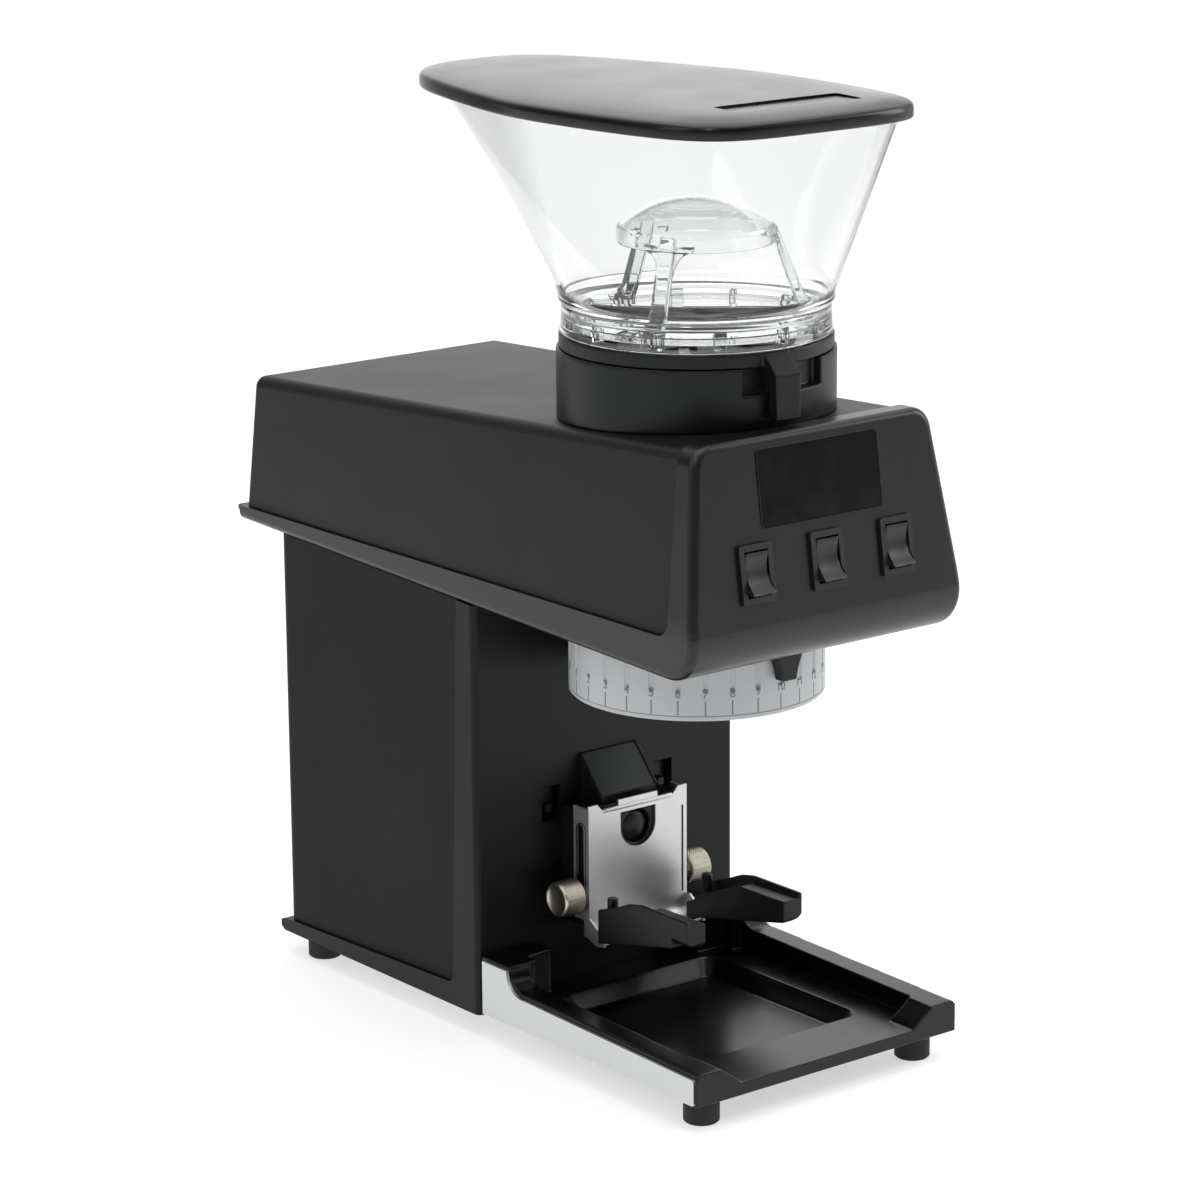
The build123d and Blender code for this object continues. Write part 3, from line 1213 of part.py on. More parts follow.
for name, s in (("thumbscrew_left", -1), ("thumbscrew_right", 1)):
    with BuildPart() as screw:
        with BuildSketch(Plane.YZ.offset(s * 40.8)):
            with Locations((AX + KNOB_Y, KNOB_Z)):
                Circle(11.0)
        extrude(amount=s * 15.6)
        chamfer(screw.edges(), 0.8)
        with BuildSketch(Plane.YZ.offset(s * 27.0)):
            with Locations((AX + KNOB_Y, KNOB_Z)):
                Circle(3.0)
        extrude(amount=s * 14.5)
        with BuildSketch(Plane.YZ.offset(s * (FORK_W + 0.3))):
            with Locations((AX + KNOB_Y, KNOB_Z)):
                Circle(6.0)
        extrude(amount=s * (41.0 - FORK_W - 0.3))
        # dished outer face
        with BuildSketch(Plane.XY.offset(KNOB_Z)):
            with BuildLine():
                Polyline((s * 57.0, AX + KNOB_Y), (s * 57.0, AX + KNOB_Y + 9.0), (s * 56.4, AX + KNOB_Y + 8.6),
                         (s * 54.8, AX + KNOB_Y), close=True)
            make_face()
        revolve(axis=Axis((0, AX + KNOB_Y, KNOB_Z), (1, 0, 0)), mode=Mode.SUBTRACT)
    screw.part.label = name
    export_step(screw.part, "parts/" + name + ".step")

# posts: four hang the motor plate from the head, four carry the chamber flange
with BuildPart() as posts:
    with BuildSketch(Plane.XY.offset(MOTOR_Z1 + 5.0)):
        with Locations((-80.0, AX + 135.0), (80.0, AX + 135.0), (-80.0, AX + 245.0), (80.0, AX + 245.0)):
            Circle(6.0)
    extrude(amount=30.0)
    split(bisect_by=Plane(origin=(0, AX, under(0.0)), x_dir=(1, 0, 0), z_dir=(0, -UNDER_SLOPE, 1)), keep=Keep.BOTTOM)
    for px, py in ((-52.0, -50.0), (52.0, -50.0), (-66.0, 26.0), (66.0, 26.0)):
        z0 = under(py) + WALL + 0.6
        with BuildSketch(Plane.XY.offset(z0)):
            with Locations((px, AX + py)):
                Circle(6.0)
        extrude(amount=282.0 - z0)
posts.part.label = "posts"
export_step(posts.part, "parts/posts.step")

# socket-head screws
with BuildPart() as cap_screws:
    with BuildSketch(Plane.XY.offset(MOTOR_Z1 + 5.0)):
        with Locations((0, AX + MOTOR_Y)):
            with PolarLocations(48.0, 4, start_angle=45):
                Circle(5.0)
                RegularPolygon(2.6, 6, mode=Mode.SUBTRACT)
    extrude(amount=5.0)
    with BuildSketch(Plane.XY.offset(FOOT_H - 3.0)):
        with Locations((-60.0, AX + 110.0), (60.0, AX + 110.0), (-60.0, AX + 270.0), (60.0, AX + 270.0)):
            Circle(5.0)
            RegularPolygon(2.4, 6, mode=Mode.SUBTRACT)
    extrude(amount=3.0)
    for px, py in ((-52.0, -50.0), (52.0, -50.0), (-66.0, 26.0), (66.0, 26.0)):
        with BuildSketch(Plane.XY.offset(288.0)):
            with Locations((px, AX + py)):
                Circle(4.5)
                RegularPolygon(2.2, 6, mode=Mode.SUBTRACT)
        extrude(amount=4.0)
    with BuildSketch(Plane.XY.offset(353.0)):
        with Locations((0, AX)):
            with PolarLocations(52.0, 3, start_angle=30):
                Circle(4.0)
                RegularPolygon(2.0, 6, mode=Mode.SUBTRACT)
    extrude(amount=3.5)
cap_screws.part.label = "cap_screws"
export_step(cap_screws.part, "parts/cap_screws.step")
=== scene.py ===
import json
import math
import random

import bmesh
import bpy
import numpy as np
from mathutils import Matrix, Vector

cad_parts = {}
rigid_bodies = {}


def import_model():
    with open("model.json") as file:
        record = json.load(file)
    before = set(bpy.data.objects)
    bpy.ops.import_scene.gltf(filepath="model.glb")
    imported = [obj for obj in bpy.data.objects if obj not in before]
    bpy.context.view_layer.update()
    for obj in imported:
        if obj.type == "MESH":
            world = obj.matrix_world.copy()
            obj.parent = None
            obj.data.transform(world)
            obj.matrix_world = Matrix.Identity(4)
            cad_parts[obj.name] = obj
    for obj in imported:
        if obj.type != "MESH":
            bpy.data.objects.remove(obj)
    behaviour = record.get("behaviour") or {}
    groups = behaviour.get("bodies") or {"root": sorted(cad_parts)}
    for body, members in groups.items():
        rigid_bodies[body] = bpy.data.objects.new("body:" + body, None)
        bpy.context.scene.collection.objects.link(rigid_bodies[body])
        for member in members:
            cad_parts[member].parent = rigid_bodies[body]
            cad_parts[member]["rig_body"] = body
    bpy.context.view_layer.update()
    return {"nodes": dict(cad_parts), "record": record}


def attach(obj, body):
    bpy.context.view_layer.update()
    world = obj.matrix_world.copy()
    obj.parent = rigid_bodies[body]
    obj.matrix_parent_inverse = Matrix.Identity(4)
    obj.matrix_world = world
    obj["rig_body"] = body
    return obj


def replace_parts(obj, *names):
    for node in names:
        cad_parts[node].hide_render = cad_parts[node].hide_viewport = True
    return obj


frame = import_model()
NODES = frame["nodes"]
MM = 0.001
AX = -106.7                      # Y of the hopper and burr axis, mm
random.seed(7)
scene = bpy.context.scene


# ---------------------------------------------------------------------------
# Materials.  All patterns use object coordinates, in metres.
# ---------------------------------------------------------------------------
class Mat:
    """A principled material with short helpers for its node tree."""

    def __init__(self, name, **sockets):
        self.m = bpy.data.materials.new(name)
        self.m.use_nodes = True
        self.t = self.m.node_tree
        self.t.nodes.clear()
        self.out = self.node("ShaderNodeOutputMaterial")
        self.b = self.node("ShaderNodeBsdfPrincipled")
        self.t.links.new(self.b.outputs["BSDF"], self.out.inputs["Surface"])
        for k, v in sockets.items():
            self.set(k, v)
        self.co = None

    def node(self, kind, **props):
        n = self.t.nodes.new(kind)
        for k, v in props.items():
            setattr(n, k, v)
        return n

    def set(self, key, value):
        names = {"color": "Base Color", "rough": "Roughness", "metal": "Metallic", "ior": "IOR",
                 "trans": "Transmission Weight", "coat": "Coat Weight", "coat_rough": "Coat Roughness",
                 "spec": "Specular IOR Level", "tint": "Specular Tint", "aniso": "Anisotropic", "sheen": "Sheen Weight",
                 "alpha": "Alpha"}
        s = self.b.inputs[names[key]]
        s.default_value = (*value, 1.0) if key in ("color", "tint") else value

    def link(self, a, b):
        self.t.links.new(a, b)

    def coords(self):
        if self.co is None:
            self.co = self.node("ShaderNodeTexCoord").outputs["Object"]
        return self.co

    def mapped(self, scale=(1, 1, 1), loc=(0, 0, 0), rot=(0, 0, 0)):
        n = self.node("ShaderNodeMapping")
        n.inputs["Scale"].default_value = scale
        n.inputs["Location"].default_value = loc
        n.inputs["Rotation"].default_value = rot
        self.link(self.coords(), n.inputs["Vector"])
        return n.outputs["Vector"]

    def noise(self, scale, detail=2.0, rough=0.5, vector=None, distort=0.0):
        n = self.node("ShaderNodeTexNoise")
        n.inputs["Scale"].default_value = scale
        n.inputs["Detail"].default_value = detail
        n.inputs["Roughness"].default_value = rough
        n.inputs["Distortion"].default_value = distort
        self.link(vector if vector is not None else self.coords(), n.inputs["Vector"])
        return n.outputs["Fac"]

    def voronoi(self, scale, feature="F1", vector=None, out="Distance"):
        n = self.node("ShaderNodeTexVoronoi", feature=feature)
        n.inputs["Scale"].default_value = scale
        self.link(vector if vector is not None else self.coords(), n.inputs["Vector"])
        return n.outputs[out]

    def ramp(self, fac, stops):
        n = self.node("ShaderNodeValToRGB")
        e = n.color_ramp.elements
        while len(e) < len(stops):
            e.new(0.5)
        for el, (p, c) in zip(e, stops):
            el.position = p
            el.color = (*c, 1.0)
        self.link(fac, n.inputs["Fac"])
        return n.outputs["Color"]

    def span(self, fac, lo, hi, a=0.0, b=1.0):
        """Maps a..b to lo..hi, clamped."""
        n = self.node("ShaderNodeMapRange")
        n.inputs["From Min"].default_value = a
        n.inputs["From Max"].default_value = b
        n.inputs["To Min"].default_value = lo
        n.inputs["To Max"].default_value = hi
        self.link(fac, n.inputs["Value"])
        return n.outputs["Result"]

    def math(self, op, a, b=None, c=None):
        n = self.node("ShaderNodeMath", operation=op)
        for i, v in enumerate((a, b, c)):
            if v is None:
                continue
            if isinstance(v, (int, float)):
                n.inputs[i].default_value = v
            else:
                self.link(v, n.inputs[i])
        return n.outputs[0]

    def mix(self, fac, a, b):
        n = self.node("ShaderNodeMix", data_type="RGBA")
        self.link(fac, n.inputs["Factor"])
        for key, v in (("A", a), ("B", b)):
            s = [i for i in n.inputs if i.name == key and i.type == "RGBA"][0]
            if isinstance(v, tuple):
                s.default_value = (*v, 1.0)
            else:
                self.link(v, s)
        return [o for o in n.outputs if o.type == "RGBA"][0]

    def bump(self, *layers):
        """layers: (height, strength, distance in mm)"""
        last = None
        for height, strength, dist in layers:
            n = self.node("ShaderNodeBump")
            n.inputs["Strength"].default_value = strength
            n.inputs["Distance"].default_value = dist * MM
            self.link(height, n.inputs["Height"])
            if last is not None:
                self.link(last, n.inputs["Normal"])
            last = n.outputs["Normal"]
        self.link(last, self.b.inputs["Normal"])

    def color(self, out):
        self.link(out, self.b.inputs["Base Color"])

    def rough(self, out):
        self.link(out, self.b.inputs["Roughness"])


def lin(r, g, b):
    """sRGB bytes to linear."""
    def f(c):
        c /= 255.0
        return c / 12.92 if c <= 0.04045 else ((c + 0.055) / 1.055) ** 2.4
    return (f(r), f(g), f(b))


def scaled(c, k):
    return tuple(min(1.0, x * k) for x in c)


def powder(name, base, grain=0.45, depth=0.05, rough=(0.5, 0.62), spec=0.5, tone=0.10, **kw):
    """Fine textured powder coat: orange-peel grain, faint cloudiness, tiny pale specks."""
    m = Mat(name, spec=spec, **kw)
    grain_n = m.noise(1.0 / (grain * MM), 3.0, 0.55)
    fine = m.noise(1.0 / (grain * 0.35 * MM), 2.0, 0.6)
    cloud = m.noise(9.0, 3.0, 0.55)
    peel = m.noise(1.0 / (2.6 * MM), 2.0, 0.45)
    c1 = m.ramp(grain_n, [(0.30, scaled(base, 1.0 - 1.6 * tone)), (0.52, base), (0.72, scaled(base, 1.0 + 1.9 * tone))])
    c2 = m.mix(m.span(cloud, 0.0, 0.5, 0.35, 0.7), c1, scaled(base, 1.0 + 1.2 * tone))
    m.color(c2)
    r = m.math("ADD", m.span(grain_n, rough[0], rough[1], 0.3, 0.7), m.span(cloud, -0.035, 0.035, 0.3, 0.7))
    m.rough(r)
    m.bump((peel, 0.10, 0.06), (grain_n, 0.35, depth), (fine, 0.2, depth * 0.35))
    return m.m


def plastic(name, base, grain=0.5, depth=0.03, rough=(0.36, 0.46), spec=0.5, tone=0.08, **kw):
    """Moulded plastic with a fine spark-eroded grain and soft gloss changes."""
    m = Mat(name, spec=spec, **kw)
    g = m.voronoi(1.0 / (grain * MM), "SMOOTH_F1")
    n = m.noise(1.0 / (grain * 0.5 * MM), 2.0, 0.6)
    cloud = m.noise(14.0, 3.0, 0.6)
    m.color(m.ramp(m.math("ADD", m.span(n, 0.0, 0.5), m.span(cloud, 0.0, 0.5)),
                   [(0.28, scaled(base, 1 - 1.5 * tone)), (0.5, base), (0.74, scaled(base, 1 + 1.5 * tone))]))
    m.rough(m.math("ADD", m.span(n, rough[0], rough[1], 0.3, 0.7), m.span(cloud, -0.03, 0.03, 0.3, 0.7)))
    m.bump((g, 0.25, depth), (n, 0.2, depth * 0.5))
    return m.m


def brushed(name, base, axis="X", rough=(0.22, 0.38), line=0.12, tone=0.10, depth=0.012, metal=1.0, **kw):
    """Metal with fine straight brush lines along one axis."""
    m = Mat(name, metal=metal, **kw)
    s = 1.0 / (line * MM)
    sc = {"X": (s * 0.012, s, s), "Y": (s, s * 0.012, s), "Z": (s, s, s * 0.012)}[axis]
    lines = m.noise(1.0, 3.0, 0.65, m.mapped(sc))
    broad = m.noise(1.0, 2.0, 0.5, m.mapped(tuple(x * 0.12 for x in sc)))
    cloud = m.noise(22.0, 2.0, 0.5)
    mixed = m.math("ADD", m.span(lines, 0.0, 0.6), m.span(broad, 0.0, 0.4))
    m.color(m.ramp(mixed, [(0.3, scaled(base, 1 - 1.8 * tone)), (0.52, base), (0.72, scaled(base, 1 + tone))]))
    m.rough(m.math("ADD", m.span(mixed, rough[0], rough[1], 0.3, 0.7), m.span(cloud, -0.04, 0.04, 0.3, 0.7)))
    m.bump((lines, 0.25, depth))
    return m.m


def cast(name, base, rough=(0.42, 0.6), metal=1.0):
    m = Mat(name, metal=metal)
    n = m.noise(900.0, 4.0, 0.6)
    big = m.noise(60.0, 3.0, 0.5)
    m.color(m.ramp(m.math("ADD", m.span(n, 0, 0.6), m.span(big, 0, 0.4)),
                   [(0.3, scaled(base, 0.78)), (0.55, base), (0.75, scaled(base, 1.12))]))
    m.rough(m.span(n, rough[0], rough[1], 0.3, 0.7))
    m.bump((n, 0.4, 0.12))
    return m.m


def rubber(name, base):
    m = Mat(name, spec=0.35)
    n = m.noise(1500.0, 3.0, 0.6)
    dust = m.noise(140.0, 4.0, 0.65)
    m.color(m.ramp(m.math("ADD", m.span(n, 0, 0.4), m.span(dust, 0, 0.6)),
                   [(0.3, scaled(base, 0.75)), (0.52, base), (0.75, scaled(base, 1.45))]))
    m.rough(m.span(dust, 0.68, 0.85, 0.3, 0.7))
    m.bump((n, 0.4, 0.06))
    return m.m


def clear(name, tint=(0.985, 0.992, 0.99), rough=0.01, density=12.0):
    """Clear moulded plastic with faint flow waviness."""
    m = Mat(name, trans=1.0, ior=1.49, color=tint)
    wave = m.noise(26.0, 1.0, 0.4)
    haze = m.noise(240.0, 3.0, 0.6)
    m.rough(m.span(haze, rough * 0.5, rough * 2.0, 0.35, 0.7))
    m.bump((wave, 0.10, 0.35))
    body = m.node("ShaderNodeVolumeAbsorption")
    body.inputs["Color"].default_value = (0.0, 0.05, 0.09, 1.0)
    body.inputs["Density"].default_value = density
    m.link(body.outputs["Volume"], m.out.inputs["Volume"])
    return m.m


M = {}
M["cover_paint"] = powder("cover_paint", lin(17, 17, 19), grain=0.42, depth=0.045, rough=(0.43, 0.55), spec=0.33, tint=(0.95, 0.98, 1.0))
M["frame_paint"] = powder("frame_paint", lin(15, 15, 15), grain=0.36, depth=0.022, rough=(0.27, 0.36), spec=0.46)
M["column_paint"] = powder("column_paint", lin(17, 17, 19), grain=0.42, depth=0.045, rough=(0.5, 0.62), spec=0.17)
M["column_frame_paint"] = powder("column_frame_paint", lin(14, 14, 14), grain=0.36, depth=0.03, rough=(0.4, 0.52), spec=0.24)
M["black_plastic"] = plastic("black_plastic", lin(12, 13, 15), rough=(0.34, 0.46), spec=0.33, tint=(0.93, 0.975, 1.0))
M["lid_plastic"] = plastic("lid_plastic", lin(9, 9, 10), rough=(0.2, 0.27), grain=0.6, depth=0.016, spec=0.38)
M["switch_plastic"] = plastic("switch_plastic", lin(22, 24, 25), rough=(0.32, 0.44), grain=0.35)
M["tray_plastic"] = plastic("tray_plastic", lin(5, 5, 6), rough=(0.2, 0.28), grain=0.5, depth=0.014, spec=0.34)
M["ring_white"] = plastic("ring_white", lin(191, 196, 198), rough=(0.36, 0.46), grain=0.4, depth=0.012, tone=0.03)
M["stainless"] = brushed("stainless", lin(212, 213, 213), "X", rough=(0.36, 0.48), tone=0.05, depth=0.01)
M["nickel"] = brushed("nickel", lin(196, 187, 172), "X", rough=(0.24, 0.36), line=0.2)
M["strip_aluminium"] = brushed("strip_aluminium", lin(214, 217, 216), "Y", rough=(0.42, 0.5), tone=0.018, depth=0.006)
M["rubber"] = rubber("rubber", lin(45, 45, 46))
M["cast_aluminium"] = cast("cast_aluminium", lin(178, 178, 178))
M["burr_steel"] = brushed("burr_steel", lin(165, 165, 168), "Y", rough=(0.18, 0.3), line=0.3)
M["machine_steel"] = brushed("machine_steel", lin(172, 172, 172), "Z", rough=(0.2, 0.34), line=0.3)
M["motor_paint"] = powder("motor_paint", lin(58, 59, 62), grain=1.2, depth=0.03, rough=(0.2, 0.3))
M["capacitor_can"] = brushed("capacitor_can", lin(205, 205, 205), "Z", rough=(0.15, 0.25))
M["board"] = plastic("board", lin(26, 84, 48), rough=(0.25, 0.38), grain=1.2)
M["clear_plastic"] = clear("clear_plastic")
M["guard_clear"] = clear("guard_clear", density=22.0)
m = Mat("display_gloss", spec=0.36)
smudge = m.noise(38.0, 4.0, 0.62, distort=0.6)
m.color(m.ramp(smudge, [(0.35, lin(5, 6, 7)), (0.7, lin(9, 10, 11))]))
m.rough(m.span(smudge, 0.05, 0.13, 0.35, 0.7))
m.bump((m.noise(30.0, 1.0, 0.4), 0.05, 0.05))
M["display_gloss"] = m.m
# printed marks on the ring
m = Mat("ring_ink", spec=0.3)
worn = m.noise(2200.0, 3.0, 0.6)
m.color(m.ramp(worn, [(0.3, lin(112, 116, 118)), (0.62, lin(132, 136, 138)), (0.8, lin(150, 154, 155))]))
m.rough(m.span(worn, 0.5, 0.62, 0.3, 0.7))
M["ring_ink"] = m.m


def turned(name, base, centre, rough=(0.2, 0.34)):
    """Metal with fine turning rings about an axis along X through centre (mm)."""
    m = Mat(name, metal=1.0)
    flat = m.mapped((0.0, 1.0, 1.0), (0.0, -centre[0] * MM, -centre[1] * MM))
    length = m.node("ShaderNodeVectorMath", operation="LENGTH")
    m.link(flat, length.inputs[0])
    w = m.node("ShaderNodeTexNoise", noise_dimensions="1D")
    w.inputs["Scale"].default_value = 1.0 / (0.16 * MM)
    w.inputs["Detail"].default_value = 2.0
    m.link(length.outputs["Value"], w.inputs["W"])
    f = w.outputs["Fac"]
    m.color(m.ramp(f, [(0.3, scaled(base, 0.8)), (0.55, base), (0.75, scaled(base, 1.1))]))
    m.rough(m.span(f, rough[0], rough[1], 0.3, 0.7))
    m.bump((f, 0.3, 0.03))
    return m.m


M["nickel_face"] = turned("nickel_face", lin(198, 189, 175), (AX + 64.0, 83.0))


def slot_of(node):
    for sub in frame["record"].get("subcomponents", []):
        if sub.get("node") == node or sub.get("name") == node:
            return sub.get("material_slot") or sub.get("material")
    return None


for name, ob in NODES.items():
    have = [s.material.name if s.material else "" for s in ob.material_slots]
    pick = None
    for h in have:
        base = h.split(".")[0]
        if base in M:
            pick = base
    pick = pick or slot_of(name)
    if pick in M:
        for s in ob.material_slots:
            s.material = M[pick]

for name, finish in (("column_cover", "column_paint"), ("column_frame", "column_frame_paint"), ("hopper_guard", "guard_clear")):
    for s in NODES[name].material_slots:
        s.material = M[finish]

# ---------------------------------------------------------------------------
# Helpers for pieces.  Coordinates are millimetres until the mesh is finished.
# ---------------------------------------------------------------------------
def finish_piece(name, bm, mat, body, sharp=35.0):
    bmesh.ops.recalc_face_normals(bm, faces=bm.faces)
    bmesh.ops.scale(bm, vec=(MM, MM, MM), verts=bm.verts)
    me = bpy.data.meshes.new(name)
    bm.to_mesh(me)
    bm.free()
    for x in (mat if isinstance(mat, (list, tuple)) else [mat]):
        me.materials.append(M[x])
    me.polygons.foreach_set("use_smooth", [True] * len(me.polygons))
    me.set_sharp_from_angle(angle=math.radians(sharp))
    o = bpy.data.objects.new(name, me)
    scene.collection.objects.link(o)
    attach(o, body)
    return o


def rings_to_bm(bm, rings, cyclic=False, ends=False, mat=0):
    """Skins closed rings of equal length; cyclic joins the last to the first, ends closes both with fans."""
    rows = [[bm.verts.new(p) for p in r] for r in rings]
    n = len(rows[0])
    pairs = list(zip(rows, rows[1:]))
    if cyclic:
        pairs.append((rows[-1], rows[0]))
    for lo, hi in pairs:
        for k in range(n):
            f = bm.faces.new((lo[k], lo[(k + 1) % n], hi[(k + 1) % n], hi[k]))
            f.material_index = mat
    if ends:
        for row in (rows[0], rows[-1]):
            c = Vector((0, 0, 0))
            for v in row:
                c += v.co
            cv = bm.verts.new(c / n)
            for k in range(n):
                bm.faces.new((cv, row[k], row[(k + 1) % n])).material_index = mat
    return rows


def circle(r, z, n, cx=0.0, cy=AX):
    return [(cx + r * math.cos(2 * math.pi * k / n), cy + r * math.sin(2 * math.pi * k / n), z) for k in range(n)]


def tube(bm, path, radius, n=16, squash=1.0):
    """A rounded bar along a path of points, with domed ends."""
    pts = [Vector(p) for p in path]
    first, last = (pts[0] - pts[1]).normalized(), (pts[-1] - pts[-2]).normalized()
    steps = [(pts[0] + first * radius * math.sin(a), radius * math.cos(a)) for a in (1.45, 1.1, 0.7, 0.35)]
    steps += [(p, radius) for p in pts]
    steps += [(pts[-1] + last * radius * math.sin(a), radius * math.cos(a)) for a in (0.35, 0.7, 1.1, 1.45)]
    rings = []
    for i, (c, r) in enumerate(steps):
        d = (steps[min(i + 1, len(steps) - 1)][0] - steps[max(i - 1, 0)][0]).normalized()
        u = d.cross(Vector((0, 0, 1)))
        if u.length < 0.1:
            u = d.cross(Vector((0, 1, 0)))
        u.normalize()
        w = d.cross(u)
        rings.append([c + u * r * math.cos(2 * math.pi * k / n) + w * r * squash * math.sin(2 * math.pi * k / n) for k in range(n)])
    rings_to_bm(bm, rings, ends=True)


def block(bm, centre, size, angle=0.0, bevel=0.3):
    """A small block with bevelled edges, turned about Z."""
    made = bmesh.ops.create_cube(bm, size=1.0)["verts"]
    bmesh.ops.scale(bm, vec=size, verts=made)
    edges = list({e for v in made for e in v.link_edges})
    res = bmesh.ops.bevel(bm, geom=edges, offset=bevel, segments=2, profile=0.5, affect="EDGES")
    verts = list({v for f in res["faces"] for v in f.verts} | {v for v in made if v.is_valid})
    bmesh.ops.rotate(bm, cent=(0, 0, 0), matrix=Matrix.Rotation(angle, 3, "Z"), verts=verts)
    bmesh.ops.translate(bm, vec=centre, verts=verts)


def soft(node, voxel, passes=6, keep=0.35, extra=None):
    """A copy of a CAD node with the rounded edges of a moulding."""
    src = NODES[node]
    bm = bmesh.new()
    bm.from_mesh(src.data)
    bmesh.ops.remove_doubles(bm, verts=bm.verts, dist=2e-6)
    if extra is not None:
        add = bmesh.new()
        extra(add)
        bmesh.ops.recalc_face_normals(add, faces=add.faces)
        bmesh.ops.scale(add, vec=(MM, MM, MM), verts=add.verts)
        part = bpy.data.meshes.new(node + "_extra")
        add.to_mesh(part)
        add.free()
        bm.from_mesh(part)
        bpy.data.meshes.remove(part)
    me = bpy.data.meshes.new(node + "_start")
    bm.to_mesh(me)
    bm.free()
    o = bpy.data.objects.new(node + "_soft", me)
    scene.collection.objects.link(o)
    r = o.modifiers.new("remesh", "REMESH")
    r.mode = "VOXEL"
    r.voxel_size = voxel * MM
    k = o.modifiers.new("smooth", "SMOOTH")
    k.factor = 0.5
    k.iterations = passes
    if keep < 1.0:
        d = o.modifiers.new("thin", "DECIMATE")
        d.ratio = keep
    bpy.context.view_layer.update()
    dg = bpy.context.evaluated_depsgraph_get()
    done = bpy.data.meshes.new_from_object(o.evaluated_get(dg))
    done.name = node + "_soft"
    o.modifiers.clear()
    o.data = done
    bpy.data.meshes.remove(me)
    done.materials.clear()
    done.materials.append(src.material_slots[0].material)
    done.polygons.foreach_set("use_smooth", [True] * len(done.polygons))
    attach(o, src["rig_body"])
    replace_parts(o, node)
    return o


for node, voxel, passes, keep in (("catch_tray", 0.75, 6, 0.3), ("fork_arm_left", 0.45, 7, 0.5), ("fork_arm_right", 0.45, 7, 0.5),
                                  ("holder_bracket", 0.6, 6, 0.4), ("gate_ring", 0.6, 5, 0.4), ("hopper_collar", 0.65, 5, 0.35),
                                  ("pointer", 0.3, 8, 0.5)):
    soft(node, voxel, passes, keep)


def guard_webs(bm):
    """Webs that widen the legs of the guard where they meet its rim."""
    for k in range(3):
        a = math.radians(90.0 + 120.0 * k)
        rad, tan = Vector((math.cos(a), math.sin(a), 0)), Vector((-math.sin(a), math.cos(a), 0))
        rows = []
        for z, half in ((486.0, 15.0), (483.4, 14.0), (482.2, 10.6), (480.6, 8.4), (478.2, 6.8), (474.5, 5.6), (469.0, 4.7)):
            r0 = max(42.7, 43.6 + (483.2 - z) * 0.392)
            rows.append([Vector((0, AX, z)) + rad * (r0 + dr) + tan * dt for dr, dt in ((0.2, -half), (2.3, -half), (2.3, half), (0.2, half))])
        rings_to_bm(bm, rows, ends=True)


soft("hopper_guard", 0.5, 12, 0.5, guard_webs)

# ---------------------------------------------------------------------------
# Hopper: one smooth clear skin with the beaded neck and its inner ledge
# ---------------------------------------------------------------------------
LID_HALF = [(0, -114.2), (23.4, -114.0), (46.5, -112.4), (67.6, -105.6), (82.2, -89.3), (89.6, -66.5),
            (93.2, -43.0), (95.4, -19.5), (96.7, 3.8), (97.0, 27.2), (95.6, 50.5), (91.9, 73.6),
            (86.8, 96.4), (80.8, 119.0), (74.2, 141.7), (66.8, 164.0), (57.0, 185.8), (42.8, 204.2),
            (23.0, 214.8), (0, 216.8)]


def closed_curve(pts, n):
    """n points along the smooth closed curve through pts."""
    p = np.array(pts, float)
    k = len(p)
    h = np.linalg.norm(np.roll(p, -1, 0) - p, axis=1)
    a = np.zeros((k, k))
    rhs = np.zeros((k, 2))
    for i in range(k):
        j, q = (i - 1) % k, (i + 1) % k
        a[i, j] += h[j]
        a[i, i] += 2 * (h[j] + h[i])
        a[i, q] += h[i]
        rhs[i] = 6 * ((p[q] - p[i]) / h[i] - (p[i] - p[j]) / h[j])
    m2 = np.linalg.solve(a, rhs)
    t = np.concatenate(([0.0], np.cumsum(h)))
    out = []
    for s_ in np.linspace(0, t[-1], n, endpoint=False):
        i = min(int(np.searchsorted(t, s_, side="right")) - 1, k - 1)
        q = (i + 1) % k
        u, w = s_ - t[i], t[i + 1] - s_
        out.append((m2[i] * w ** 3 + m2[q] * u ** 3) / (6 * h[i]) + (p[i] / h[i] - m2[i] * h[i] / 6) * w
                   + (p[q] / h[i] - m2[q] * h[i] / 6) * u)
    return np.array(out)


OVAL = closed_curve(LID_HALF + [(-x, y) for x, y in LID_HALF[-2:0:-1]], 360)
OVAL_A = np.arctan2((OVAL[:, 1] - 51.3) / 165.5, OVAL[:, 0] / 97.0)


def oval(half_w, y0, y1):
    return np.c_[OVAL[:, 0] * half_w / 97.0, y0 + (OVAL[:, 1] + 114.2) * (y1 - y0) / 331.0]


def neck(r):
    return np.c_[r * np.cos(OVAL_A), r * np.sin(OVAL_A)]


def level(xy, z):
    return [(float(x), AX + float(y), z) for x, y in xy]


section = [level(neck(r), z) for z, r in (
    (431.2, 77.5), (431.7, 78.4), (433.2, 78.4), (433.9, 77.7), (440.0, 77.7), (448.2, 77.7), (449.0, 78.0), (449.8, 78.8),
    (450.8, 79.3), (451.8, 79.3), (452.6, 78.9))]
for k in range(1, 31):
    t = k / 30.0
    ease = t + 0.012 * math.sin(math.pi * t) * (1 - t)
    section.append(level((1 - ease) * neck(78.6) + ease * oval(90.0, -107.0, 197.0), 453.2 + t * (556.0 - 453.2)))
section += [level(oval(90.0, -107.0, 197.0), 564.0), level(oval(89.4, -106.4, 196.4), 564.8),
            level(oval(88.0, -105.0, 195.0), 564.8), level(oval(87.4, -104.4, 194.4), 564.0)]
for k in range(30, 0, -1):
    t = k / 30.0
    ease = t + 0.012 * math.sin(math.pi * t) * (1 - t)
    section.append(level((1 - ease) * neck(76.0) + ease * oval(87.4, -104.4, 194.4), 453.6 + t * (556.0 - 453.6)))
